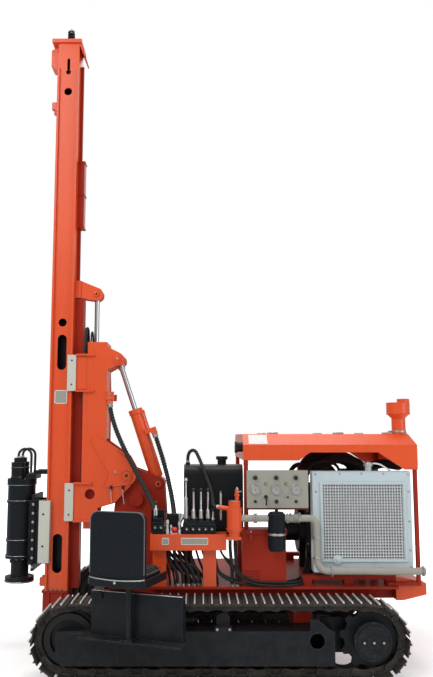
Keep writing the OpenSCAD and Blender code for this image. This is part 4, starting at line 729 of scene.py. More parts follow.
class RIG_OT_stage(bpy.types.Operator):
    """Sets the camera, the soft lights and the pale floor"""
    bl_idname = "rig.stage"
    bl_label = "Set the stage"

    def execute(self, context):
        setup = context.scene.rig_stage
        scene = context.scene
        width, height = setup.picture_px
        data = bpy.data.cameras.new("camera")
        data.sensor_width = 36.0
        data.lens = setup.focal_px / height * data.sensor_width
        data.shift_x = (width / 2 - setup.centre_x_px) / height
        data.shift_y = (setup.centre_y_px - height / 2) / height
        data.clip_end = 200
        camera = bpy.data.objects.new("camera", data)
        camera.location = (ORIGIN[0] + setup.aside, TRACK_LOW[1] - setup.distance, setup.height)
        camera.rotation_euler = (math.pi / 2 + setup.pitch, 0, 0)
        scene.collection.objects.link(camera)
        scene.camera = camera
        scene.view_settings.view_transform = "Standard"

        world = bpy.data.worlds.new("studio")
        scene.world = world
        world.use_nodes = True
        t = Tree(world.node_tree)
        seen = t.add("ShaderNodeLightPath").outputs["Is Camera Ray"]
        strength = t.math("ADD", t.math("MULTIPLY", seen, 1.0 - setup.sky), setup.sky)
        t.feed(world.node_tree.nodes["Background"], {"Color": (1, 1, 1, 1), "Strength": strength})

        middle = Vector((0.0, 0.0, 1.6))
        for name, place, size, power in (
                ("key", (-5.5, -8.0, 8.5), 5.0, setup.key_power),
                ("fill", (7.5, -6.0, 4.0), 5.0, setup.key_power * 0.40),
                ("rim", (2.0, 8.0, 8.0), 5.0, setup.key_power * 0.30),
                ("top", (0.5, -0.3, 14.0), 6.5, setup.key_power * 1.3)):
            lamp = bpy.data.lights.new(name, "AREA")
            lamp.size, lamp.energy = size, power
            lamp_object = bpy.data.objects.new(name, lamp)
            lamp_object.location = place
            lamp_object.rotation_euler = (middle - Vector(place)).to_track_quat("-Z", "Y").to_euler()
            scene.collection.objects.link(lamp_object)

        # The floor glows towards the camera, the more the further it lies from the rig, and ends in white
        t, shader = new_finish("floor_white")
        place = t.add("ShaderNodeNewGeometry").outputs["Position"]
        away = t.add("ShaderNodeVectorMath", {0: place}, operation="LENGTH").outputs["Value"]
        glow = t.math("ADD", t.math("MULTIPLY", t.ramp(away, 2.2, 5.0), 0.8), 0.36)
        ray = t.add("ShaderNodeLightPath").outputs["Is Camera Ray"]
        t.feed(shader, {"Roughness": 0.9, "Specular IOR Level": 0.0, "Base Color": (0.86, 0.86, 0.86, 1),
                        "Emission Color": (1, 1, 1, 1), "Emission Strength": t.math("MULTIPLY", glow, ray)})
        half = 40.0
        rim = [(-half, -half, 0), (half, -half, 0), (half, half, 0), (-half, half, 0)]
        mesh = bpy.data.meshes.new("floor")
        mesh.from_pydata(rim, [], [(0, 1, 2, 3)])
        mesh.materials.append(finish_named("floor_white"))
        floor = bpy.data.objects.new("floor", mesh)
        scene.collection.objects.link(floor)
        return {"FINISHED"}


# Tracks

def pin_line(distance, pitch, count, teeth):
    """Points of the chain's pins seen from the side, and the radius at both ends: two straight runs and
    two half circles whose radius is half the pitch over the sine of half a tooth's angle."""
    radius = pitch / (2 * math.sin(math.pi / teeth))
    total = count * pitch
    base = (total - 2 * math.pi * radius) / 2
    s = np.asarray(distance, float) % total
    bend = math.pi * radius
    turn_rear = math.pi / 2 - np.clip(s - base, 0, bend) / radius
    turn_front = -math.pi / 2 - np.clip(s - 2 * base - bend, 0, bend) / radius
    x = np.select([s < base, s < base + bend, s < 2 * base + bend],
                  [s - base / 2, base / 2 + radius * np.cos(turn_rear), base / 2 - (s - base - bend)],
                  -base / 2 + radius * np.cos(turn_front))
    z = np.select([s < base, s < base + bend, s < 2 * base + bend],
                  [np.full_like(s, radius), radius * np.sin(turn_rear), np.full_like(s, -radius)],
                  radius * np.sin(turn_front))
    return np.stack([x, z], -1), radius


def link_outline(pitch, eye, waist, steps=7):
    """Side of a chain link: a half circle round each pin, joined by a narrower waist."""
    a = np.linspace(-math.pi / 2, math.pi / 2, steps)
    right = np.stack([pitch / 2 + eye * np.cos(a), eye * np.sin(a)], -1)
    left = -right
    low = np.array([[-pitch * 0.12, -waist], [pitch * 0.12, -waist]])
    return np.concatenate([low, right, -low, left])


class RIG_OT_tracks(bpy.types.Operator):
    """Builds both tracks shoe by shoe, with their links, pins and bolts"""
    bl_idname = "rig.tracks"
    bl_label = "Lay the tracks"

    def execute(self, context):
        sizes = context.scene.rig_sizes
        pitch, count = sizes.chain_pitch, sizes.shoe_count
        pins, radius = pin_line(np.arange(count + 1) * pitch, pitch, count, sizes.sprocket_teeth)
        a, b = pins[:-1], pins[1:]
        middles = (a + b) / 2
        along = (b - a) / np.linalg.norm(b - a, axis=1)[:, None]
        turns = np.zeros((count, 3, 3))
        turns[:, 0, 0], turns[:, 2, 0] = along[:, 0], along[:, 1]
        turns[:, 0, 2], turns[:, 2, 2] = -along[:, 1], along[:, 0]
        turns[:, 1, 1] = 1
        # Outline of a shoe: plate with two grousers, which stays inside the frame's outline
        reach = (TRACK_HIGH[2] - TRACK_LOW[2]) / 2 - radius
        grouser, thick, gap = 0.022, 0.010, 0.0015
        foot = reach - grouser
        plate_low = foot - thick
        half = pitch / 2 - gap
        bar, base, top = pitch / 4, 0.0080, 0.0042
        outline = [(-half, plate_low), (half, plate_low), (half, foot - 0.004), (half - 0.006, foot)]
        for u in (bar, -bar):
            outline += [(u + base, foot), (u + top, reach), (u - top, reach), (u - base, foot)]
        outline += [(-half + 0.006, foot), (-half, foot - 0.004)]
        wide = (TRACK_HIGH[1] - TRACK_LOW[1]) / 2
        shoe = plate(outline, -wide, wide)
        bare_shoe = (shoe[0][:, 2] > reach - grouser * 0.3).astype(float)
        side = link_outline(pitch, 0.031, 0.020)
        even, odd = [join(*[plate(side, s * y - 0.0085, s * y + 0.0085) for s in SIDES])
                     for y in (0.046, 0.0645)]
        pad = join(*[block((-0.045, s * 0.055 - 0.017, 0.012), (0.045, s * 0.055 + 0.017, plate_low), 0.002)
                     for s in SIDES])
        pin = [(-0.080, 0.010), (-0.078, 0.012), (0.078, 0.012), (0.080, 0.010)]
        pin = turned(pin, (pitch / 2, 0, 0), FAR, 12)
        bolt_places = [(u, s * y, foot) for u in (-0.014, 0.014) for s in SIDES for y in (0.046, 0.066)]
        shoe_bolts = bolts(bolt_places, UP, 0.0085, 0.006)
        every, evens, odds = slice(None), slice(0, None, 2), slice(1, None, 2)
        for name, low, high in (("track_left", TRACK_LOW, TRACK_HIGH), ("track_right", FAR_LOW, FAR_HIGH)):
            places = (low + high) / 2 + np.stack([middles[:, 0], np.zeros(count), middles[:, 1]], -1)
            parts, tips = [], []
            for shape, which in ((shoe, every), (even, evens), (odd, odds), (pad, every), (pin, every),
                                 (shoe_bolts, every)):
                parts.append((repeat(shape, places[which], turns[which]), "track_steel"))
                bare = bare_shoe if shape is shoe else np.zeros(len(shape[0]))
                tips.append(np.tile(bare, len(places[which])))
            put(f"{name}_links", parts, "root", (name,), np.concatenate(tips))
        return {"FINISHED"}


# Mast and slide frame

class RIG_OT_mast(bpy.types.Operator):
    """Builds the mast's roller chain, its tension spring, bolts and blank plate"""
    bl_idname = "rig.mast"
    bl_label = "Fit out the mast"

    def execute(self, context):
        low, high = corners("feed_chain")
        count = context.scene.rig_sizes.feed_links
        pitch = (high[2] - low[2]) / count
        middle = (low + high) / 2
        side = link_outline(pitch, (high[0] - low[0]) / 2 - 0.001, 0.008, 5)[:, ::-1]
        inner, outer = [join(*[plate(side, s * y - 0.002, s * y + 0.002) for s in SIDES])
                        for y in (0.015, 0.020)]
        roller = turned([(-0.0125, 0.010), (0.0125, 0.010)], (0, 0, 0), FAR, 10)
        rivet = turned([(-0.024, 0.005), (0.024, 0.005)], (0, 0, 0), FAR, 8)
        links = low[2] + (np.arange(count) + 0.5) * pitch
        pins = low[2] + np.arange(1, count) * pitch

        def on_line(shape, heights):
            """Copies of a shape up the middle line of the chain."""
            return repeat(shape, [(middle[0], middle[1], z) for z in heights])

        put("feed_chain_links", [
            (on_line(inner, links[::2]), "cast_iron"), (on_line(outer, links[1::2]), "cast_iron"),
            (on_line(roller, pins), "zinc_steel"), (on_line(rivet, pins), "cast_iron"),
        ], "mast", ("feed_chain",))

        # Coil spring on the screw that holds the chain tight
        low, high = corners("chain_tensioner")
        middle, foot = (low + high) / 2, low[2]
        turn = np.linspace(0, 4.6 * 2 * math.pi, 110)
        coil = np.stack([middle[0] + 0.026 * np.cos(turn), middle[1] + 0.026 * np.sin(turn),
                         foot + np.linspace(0.020, 0.142, 110)], -1)
        base = (middle[0], middle[1], foot)
        put("chain_spring", [
            (tube(coil, 0.0105, 10), "black_enamel"),
            (turned([(0, 0.040), (0.010, 0.040), (0.012, 0.036)], base, UP), "black_enamel"),
            (turned([(0.012, 0.014), (0.172, 0.014)], base, UP, 20), "zinc_steel"),
            (turned([(0.148, 0.029), (0.150, 0.032), (0.158, 0.032), (0.160, 0.030)], base, UP),
             "zinc_steel"),
            (turned([(0.160, 0.021), (0.169, 0.021), (0.171, 0.019)], base, UP, 6), "black_enamel"),
        ], "mast", ("chain_tensioner",))

        # Screw seen through the slot under the top plate, and bolts of the top plate and foot
        thread = [(-1440, -30, z) for z in np.linspace(5330, 5640, 60)]
        screw = tube(spots(thread), 0.001, 12, np.where(np.arange(60) % 2, 15.0, 12.5)[:, None])
        put("mast_trim", [
            (screw, "zinc_steel"), (heads(grid((-1580, -1340), (-112, 112), 5737), UP, 11), "orange_enamel"),
            (heads(both(grid((-1520, -1480, -1440, -1400, -1360), -132, 511)), UP, 10), "zinc_steel"),
            (heads(both(grid((-1600, -1560), -70, (5480, 5640))), NEAR, 8), "orange_enamel"),
            (heads(grid(-1600, (-50, 50), (556, 592, 5060, 5096)), FRONT, 8), "orange_enamel"),
        ], "mast")
        put("lift_pin_caps", [
            (mirrored(post((-1135, -70, 3211), NEAR, [(0, 26), (4, 26), (6, 23)])), "orange_enamel"),
            (heads(both([(-1135, -76, 3211)]), NEAR, 8), "cast_iron"),
        ], "mast")
        # Black web inside the hollow mast: painted shade, a dark sheet where the slots show only the beam's
        # dark inside
        put("mast_shade_web", [(box(-1520, -1350, -8, 8, 530, 5680), "black_enamel")], "mast")
        put("mast_blank_plate", [
            (box(-1496, -1380, -122, -119.5, 2171, 2296, 0.6), "white_plate"),
            (box(-1488, -1388, -122.6, -121.5, 2179, 2288, 0.3), "grey_panel"),
            (heads(grid((-1491, -1385), -122, (2176, 2291)), NEAR, 3), "zinc_steel"),
        ], "mast")
        return {"FINISHED"}


class RIG_OT_slide(bpy.types.Operator):
    """Builds the slide frame's bolts, keepers and rings, the lift hoses and the grease lines"""
    bl_idname = "rig.slide"
    bl_label = "Fit out the slide frame"

    def execute(self, context):
        # Outlines seen from the side: the keeper of the pivot pin and the weld round the gusset
        keeper = [(-936, 1566), (-936, 1548), (-905, 1534), (-872, 1534), (-872, 1552), (-895, 1566)]
        gusset = [(-1136, 1815), (-1144, 1845), (-1131, 1869), (-1104, 1883), (-1076, 1872), (-802, 1655),
                  (-758, 1572), (-780, 1462), (-840, 1438), (-1025, 1416), (-977, 1543), (-1136, 1812)]
        bead = mirrored(rod([(x, -167.5, z) for x, z in gusset], 3.5, loop=True))
        put("slide_trim", [
            # Flat black heads: painted shade that stands in for the dark sockets of socket screws
            (heads(both(grid(-1333, -175, (2566, 2345, 1391, 1177))), NEAR, 7, 2.5), "black_plastic"),
            (mirrored(ring((-820, -167.5, 1522), NEAR, 44, 58, 8)), "orange_enamel"),
            (mirrored(slab(keeper, -176, -167, cut=1.5)), "orange_enamel"),
            (heads(both([(-920, -176, 1551)]), NEAR, 8), "zinc_steel"),
            (mirrored(post((-918, -167, 2584), NEAR, [(0, 27), (7, 27), (9, 25)])), "orange_enamel"),
            (heads(both([(-918, -176, 2584)]), NEAR, 7), "zinc_steel"),
            (mirrored(box(-1286, -1199, -163.5, -159, 2298, 2608, 3)), "orange_enamel"),
            (ring((-1135, 0, 2739), UP, 33, 54, 10), "orange_enamel"), (bead, "orange_enamel"),
            # Dark red plates deep behind the holes in the side plates: painted shade inside the holes,
            # darkened further by real shade from their depth
            (mirrored(box(-1218, -1084, -106, -98, 1288, 1424)), "red_enamel"),
            (heads(around((-1135, 0, 2739), 45, 6, "z", 0.5), UP, 6), "zinc_steel"),
            (mirrored(box(-1010, -956, -177, -174.5, 2208, 2272, 1)), "orange_enamel"),
            (heads(grid(-983, -177, (2222, 2258)), NEAR, 7), "zinc_steel"),
        ], "carrier")
        # Hoses of the lift cylinder, which loop over behind the mast
        loops = []
        for near_half in (
                [(-1223, -80, 2612), (-1223, -80, 2700), (-1223, -78, 2790), (-1223, -62, 2850),
                 (-1223, -32, 2882), (-1223, 0, 2890)],
                [(-1176, -60, 2735), (-1176, -60, 2790), (-1176, -44, 2832), (-1176, -20, 2850),
                 (-1176, 0, 2854)]):
            path = smooth_path(near_half)
            loops.append(np.concatenate([path, (path * [1, -1, 1])[-2::-1]]))
        put("lift_hoses", [
            (ribbed(loops[0], 14, 9, 1.2), "hose_rubber"), (ribbed(loops[1], 9, 9, 1.0), "hose_rubber"),
            (mirrored(nut((-1176, -60, 2738), UP, 13, 16)), "zinc_steel"),
            (mirrored(nut((-1223, -80, 2600), UP, 18, 20)), "zinc_steel"),
        ], "carrier")
        # Small fittings with their lines above the seat
        parts = []
        for x in (-956, -849):
            line = [(x, -181, 1403), (x, -182, 1370), (x + 6, -184, 1320), (x + 14, -183, 1270)]
            parts += [(box(x - 10, x + 10, -186, -159, 1400, 1434), "black_plastic"),
                      (rod(line, 4.5, smooth=True), "bright_steel")]
        put("grease_lines", parts, "carrier")
        return {"FINISHED"}


class RIG_OT_head(bpy.types.Operator):
    """Builds the drive head's bolts, rings, plugs and corrugated hoses"""
    bl_idname = "rig.head"
    bl_label = "Fit out the drive head"

    def execute(self, context):
        # Flange bolts round the spindle's line, but none where the mast stands
        spine = (-1800, 0)
        edge = []
        for z, looks in ((803, UP), (779, DOWN), (943, UP), (1291, UP), (1488, UP), (1434, DOWN)):
            points = around((*spine, z), 120 if z == 1488 else 128, 14, "z", 0.5)
            edge.append(heads([p for p in points if p[0] <= -1700 or abs(p[1]) >= 112], looks, 7))
        bright = [ring((*spine, z), UP, 123, 134.5, 3) for z in (804, 944, 1292, 1431)]
        put("head_trim", [
            (join(*edge), "zinc_steel"),
            (heads(both(grid(-1651, -175, np.arange(722, 1340, 78))), NEAR, 9), "zinc_steel"),
            (heads(both(grid(-1560, -175, (1180, 900))), NEAR, 8, 2.5), "black_plastic"),
            (join(*bright), "bright_steel"),
            (heads(both(grid(-1501, -162, np.arange(780, 1290, 78))), REAR, 8), "zinc_steel"),
        ], "head")
        parts = []
        for y in (-75, 75):
            arch = [(-1761.5 + 58.5 * math.cos(a), y, 1700 + 58.5 * math.sin(a))
                    for a in np.linspace(math.pi, 0, 9)]
            points = [(-1820, y, 1684)] + arch + [(-1703, y, z) for z in (1660, 1600, 1536)]
            parts += [(ribbed(points, 12, 8, 1.4), "hose_rubber"),
                      (nut((-1820, y, 1678), UP, 17, 14, 3), "zinc_steel"),
                      (nut((-1703, y, 1533), UP, 17, 14, 3), "zinc_steel"),
                      (heads(around((-1820, y, 1506), 57, 6, "z"), UP, 6), "zinc_steel"),
                      (heads(around((-1820, y, 1592), 52, 6, "z"), UP, 5), "zinc_steel"),
                      (ring((-1820, y, 1592), UP, 40, 63, 2), "bright_steel")]
        put("head_hose_sleeves", parts, "head", ("head_hoses",))
        low, high = corners("spindle")
        foot = (*((low + high) / 2)[:2], low[2])
        rim = [(0.0, 0.131), (0.004, 0.133), (0.010, 0.133), (0.012, 0.131), (0.012, 0.128), (0.0, 0.128)]
        put("spindle_rim", [(turned(rim, foot, UP, 64, True), "bright_steel")], "spindle")
        return {"FINISHED"}


# Operator's station

class RIG_OT_station(bpy.types.Operator):
    """Builds the levers, valve sections, hoses, blank plates, gauges and switches"""
    bl_idname = "rig.station"
    bl_label = "Fit out the operator's station"

    def execute(self, context):
        top = 1084
        # Levers: distance from the bench's front end, foot, end of the thick part, knob's height and radius
        parts = []
        gaiter = [(-6, 21), (3, 21), (6, 18), (12, 19), (15, 15), (21, 16), (25, 12)]
        for x, foot, thick, knob, r in (
                (289, 98, 296, 430, 17), (352, 98, 196, 349, 16), (413, 98, 196, 349, 16),
                (471, 98, 196, 349, 16), (512, 98, 130, 187, 14), (42, 122, 206, 243, 17)):
            base = (x - 561, -690, top)
            ball = [(knob + r * math.sin(a), r * math.cos(a)) for a in np.linspace(-1.3, 1.5, 9)]
            shaft = [(foot + 18, 16), (foot + 22, 19), (thick - 26, 17), (thick - 20, 19), (thick - 12, 19),
                     (thick - 4, 11), (thick + 2, 8.5), (knob - 4, 7.5)]
            parts += [(post(base, UP, [(foot + h, width) for h, width in gaiter], 24), "black_plastic"),
                      (post(base, UP, shaft, 20), "bright_steel"),
                      (post(base, UP, ball, 20), "bright_steel" if knob == 430 else "black_plastic")]
        put("lever_handles", parts, "root", ("levers",))

        # Sections of the valves: ribs, end caps, port nuts and elbows
        ribs = [box(x, x + 6, -748, -617, 1090, 1158) for x in (-281, -230, -179, -128, -77)]
        ribs += [box(x, x + 6, -748, -632, 1090, 1168) for x in (-530, -498, -466)]
        caps, bright = [], []
        for x in (-264, -213, -162, -111, -60):
            caps.append(post((x, -755, 1124), NEAR, [(0, 17), (5, 17), (8, 13)], 24))
            bright.append(post((x, -762, 1124), NEAR, [(0, 8), (4, 8), (5, 6)], 6))
        for x in (-521, -474):
            caps.append(post((x, -745, 1136), NEAR, [(0, 18), (9, 18), (12, 14)], 24))
            bright.append(post((x, -757, 1136), NEAR, [(0, 8), (5, 8)], 6))
        for x in (-245, -190, -135, -80):
            bright.append(post((x, -640, 1182), UP, [(0, 12), (14, 12), (15, 9), (34, 9)], 6))
        for x, y, r, tall in ((-421, -735, 13, 110), (-436, -700, 17, 60), (-392, -735, 10, 70),
                              (-325, -735, 12, 95), (-310, -700, 20, 52)):
            waist = r * 0.7
            fitting = [(0, r), (tall * 0.4, r), (tall * 0.42, waist), (tall * 0.7, waist), (tall * 0.72, r),
                       (tall, r), (tall + 3, r * 0.6)]
            bright.append(post((x, y, top), UP, fitting, 6))
        cone = post((-330, -690, 1140), (0.25, 0, 1), [(0, 12), (30, 15), (95, 32), (98, 32), (98, 27)], 24)
        stop, leaning = (-363, -722, top), (0, -0.4, 1)
        button = [(0, 20), (22, 20), (22, 12), (32, 12), (34, 24), (46, 24), (52, 20), (55, 12)]
        put("valve_trim", [
            (join(*ribs), "black_enamel"), (join(*caps), "black_plastic"), (join(*bright), "bright_steel"),
            (cone, "bright_steel"), (post(stop, leaning, button, 28), "red_plastic"),
            (post(stop, leaning, [(0, 24), (12, 24), (14, 21)], 28), "white_plastic"),
        ], "root")
        # Low hoses behind the valves, from the port blocks down through the bench's rear edge
        parts = []
        for x, r in ((-500, 11), (-462, 9), (-262, 10), (-211, 10), (-160, 10), (-109, 10)):
            points = shifted([(0, -622 if x > -300 else -600, 1120), (0, -600, 1124), (0, -572, 1112),
                              (4, -560, 1070), (10, -560, 1000), (22, -562, 930), (48, -575, 850),
                              (80, -600, 770), (96, -620, 700), (98, -625, 662)], x)
            parts += [(ribbed(points, r, 8, 1.0, 10), "hose_rubber"),
                      (post(points[1], FAR, [(-14, r + 4), (4, r + 4), (5, r + 2)], 6), "zinc_steel")]
        put("valve_hoses", parts, "root")
        pin_bolts = heads(both([(-820, -180, 1522), (-536, -126, 1445)]), NEAR, 11, 6)
        put("pin_bolts", [(pin_bolts, "cast_iron")], "root")

        # Supply hoses under the bench and from the lubricator to the deck, and the tank's hose
        under = [(0, -650, 956), (0, -650, 897), (14, -650, 838), (56, -650, 778), (70, -650, 719),
                 (70, -650, 660)]
        feed = [(0, -736, 1050), (0, -736, 972), (8, -726, 874.5), (16, -696, 777), (16, -680, 707),
                (16, -680, 660)]
        drops = [shifted(under, x) for x in (-411, -366, -321, -276, -231)]
        drops += [shifted(feed, x) for x in (89, 129)]
        parts = []
        for points in drops:
            parts += [(ribbed(points, 15, 8, 1.5), "hose_rubber"),
                      (nut(points[0], DOWN, 17, 16), "zinc_steel"),
                      (nut(points[-1], UP, 18, 14, 2.5), "zinc_steel")]
        put("hose_sleeves", parts, "root", ("control_hoses",))
        points = [(-262, -380, 1647), (-262, -380, 1690), (-252, -388, 1728), (-226, -404, 1752),
                  (-196, -428, 1744), (-174, -460, 1708), (-150, -502, 1655), (-124, -545, 1590),
                  (-94, -587, 1512), (-66, -632, 1435), (-52, -680, 1368), (-47, -722, 1324),
                  (-33.4, -743.5, 1306.5), (-5, -752, 1302)]
        put("tank_hose_sleeve", [
            (ribbed(points, 15, 8, 1.5), "hose_rubber"), (nut(points[0], UP, 18, 16, 2.5), "zinc_steel"),
            (nut(points[-1], (-0.98, 0.2, 0.1), 18, 16, 2.5), "zinc_steel"),
        ], "root", ("tank_hose",))

        # Bundles over the deck and under the bench
        parts = []
        for y, z in ((0, 0), (26, 4), (8, 22)):
            points = [(6, -692 + y, 958), (30, -700 + y, 912), (88, -712 + y, 836 + z),
                      (150, -716 + y, 768 + z), (215, -718 + y, 716 + z), (295, -722 + y, 686 + z),
                      (400, -724 + y, 676 + z), (540, -720 + y, 674 + z), (640, -680 + y, 674 + z),
                      (700, -590 + y, 680 + z), (750, -470 + y, 700 + z), (800, -350 + y, 790 + z),
                      (840, -240, 890 + z)]
            parts.append((ribbed(points, 9, 8, 0.9, 10), "hose_rubber"))
        for y, z in ((0, 0), (24, 10)):
            points = [(-34, -600 + y, 940), (-26, -640 + y, 850), (-2, -676 + y, 768 + z),
                      (60, -690 + y, 722 + z), (150, -694 + y, 692 + z), (260, -690 + y, 674 + z),
                      (400, -670 + y, 668 + z), (560, -610 + y, 668 + z), (680, -520 + y, 676 + z),
                      (740, -420 + y, 730 + z), (780, -320 + y, 830 + z)]
            parts.append((ribbed(points, 11, 8, 0.9, 10), "hose_rubber"))
        bundle = [(-420, -548, 956), (-392, -544, 900), (-340, -540, 838), (-280, -540, 766),
                  (-236, -542, 712), (-214, -544, 664)]
        for x, y in ((-52, 8), (-12, 0), (30, -10), (66, 4), (104, -6)):
            parts.append((ribbed(shifted(bundle, x, y), 13, 8, 1.0, 10), "hose_rubber"))
        put("deck_hoses", parts, "root")

        # Lines of the travel motors, from the front cross beam to each final drive
        parts = []
        for s in SIDES:
            for y, z in ((300, 364), (318, 389), (300, 413)):
                points = [(-550, s * y, z), (-200, s * (y + 3), z - 2), (300, s * (y - 3), z + 1),
                          (750, s * y, z), (950, s * (y + 24), z - 8), (1070, s * (y + 90), z - 20),
                          (1140, s * (y + 180), z - 34), (1156, s * (y + 250), z - 42),
                          (1156, s * 606, z - 44)]
                parts.append((ribbed(points, 13, 12, 1.0, 10), "hose_rubber"))
        put("travel_hoses", parts, "root")

        # Blank plates on the bench's front
        parts = []
        for x0, x1 in ((-464, -407), (-310, -91)):
            parts += [(box(x0, x1, -762, -759.5, 1001, 1056, 0.6), "white_plate"),
                      (box(x0 + 5, x1 - 5, -762.8, -761.5, 1007, 1050, 0.3), "grey_panel"),
                      (heads(grid((x0 + 3, x1 - 3), -762, (1004, 1053)), NEAR, 2), "zinc_steel")]
        put("bench_plates", parts, "root")

        # Gauges: bezel, dial, ticks, needle and glass
        face, height = -743.7, 1440

        def ray(x, angle, depth, reaches):
            """Points on a line that turns clockwise from upright round a gauge's middle."""
            c, s = math.sin(angle), math.cos(angle)
            return [(x + c * r, face - depth, height + s * r) for r in reaches]

        parts = []
        for x, turn in ((297, 0.9), (469, -0.5), (630, 1.9)):
            ticks = [rod(ray(x, a, 9.4, (25, 30)), 1.1, 4) for a in np.linspace(-2.2, 2.2, 11)]
            needle = tube(spots(ray(x, turn, 10.0, (-8, 0, 24))), 0.0013, 6, [[1.3], [1.3], [0.4]])
            parts += [
                (ring((x, face, height), NEAR, 34.5, 43, 16), "chrome_plate"),
                (post((x, face - 7.5, height), NEAR, [(0, 34.4), (1.4, 34.4)], 48), "white_plate"),
                (join(*ticks), "black_plastic"), (needle, "black_plastic"),
                (post((x, face - 9, height), NEAR, [(0, 4), (2.5, 4)], 16), "black_plastic"),
                (post((x, face - 13.4, height), NEAR, [(0, 34.4), (1.2, 34.4)], 48), "gauge_glass"),
            ]
        put("gauges", parts, "root")
        # Knobs and switches: place, radius and depth
        knobs = [(x, 1535, 16, 26) for x in (297, 469, 630)] + [(x, 1344, 10, 18) for x in (297, 630)]
        knobs += [(469, 1344, 13, 18), (384, 1485, 10, 16), (551, 1485, 10, 12), (384, 1381, 13, 20)]
        black = []
        for x, z, r, d in knobs:
            knob = [(0, r + 3), (3, r + 3), (4, r + 1), (d - 2, r), (d + 1, r - 2)]
            black.append(post((x, face, z), NEAR, knob, 20))
        black += [post((551, face, 1390), (0.5, -1, -0.5), [(0, 7), (24, 9), (27, 7)], 14),
                  box(378, 390, face - 34, face - 18, 1352, 1390),
                  post((384, face - 30, 1352), DOWN, [(0, 5), (34, 7), (38, 5)], 14)]
        screws = heads(grid((240, 718), face, (1303, 1582)), NEAR, 5)
        parts = [(join(*black), "black_plastic"), (screws, "zinc_steel")]
        put("panel_switches", parts, "root")
        return {"FINISHED"}


# Engine bay

def perforated(low, high, columns, rows, share=0.70):
    """A thin sheet square to y with square holes. Its lines are uneven: every second gap both ways is a hole,
    which takes a share of the pitch."""

    def lines(start, end, count):
        """Places of the grid's lines: both rims, and both edges of each hole in the middle of its pitch."""
        pitch = (end - start) / count
        first = start + pitch * (np.arange(count) + 0.5 - share / 2)
        return np.concatenate([[start], np.stack([first, first + pitch * share], -1).ravel(), [end]])

    x, z = np.meshgrid(lines(low[0], high[0], columns), lines(low[2], high[2], rows), indexing="ij")
    front = np.stack([x, np.full_like(x, low[1]), z], -1).reshape(-1, 3)
    count, m = len(front), x.shape[1]
    i, j = np.meshgrid(np.arange(x.shape[0] - 1), np.arange(m - 1), indexing="ij")
    a = i * m + j
    cells = np.stack([a, a + m, a + m + 1, a + 1], -1)
    hole = (i % 2 == 1) & (j % 2 == 1)
    sheet, open_cells = cells[~hole], cells[hole]
    faces = [sheet, sheet[:, ::-1] + count]
    for k in range(4):
        p, q = open_cells[:, k], open_cells[:, (k + 1) % 4]
        faces.append(np.stack([p, q, q + count, p + count], -1))
    rim = [cells[:, 0][:, [0, 1]], cells[-1, :][:, [1, 2]], cells[:, -1][:, [2, 3]], cells[0, :][:, [3, 0]]]
    for p, q in (pair.T for pair in rim):
        faces.append(np.stack([q, p, p + count, q + count], -1))
    return np.concatenate([front, front + [0, high[1] - low[1], 0]]), faces


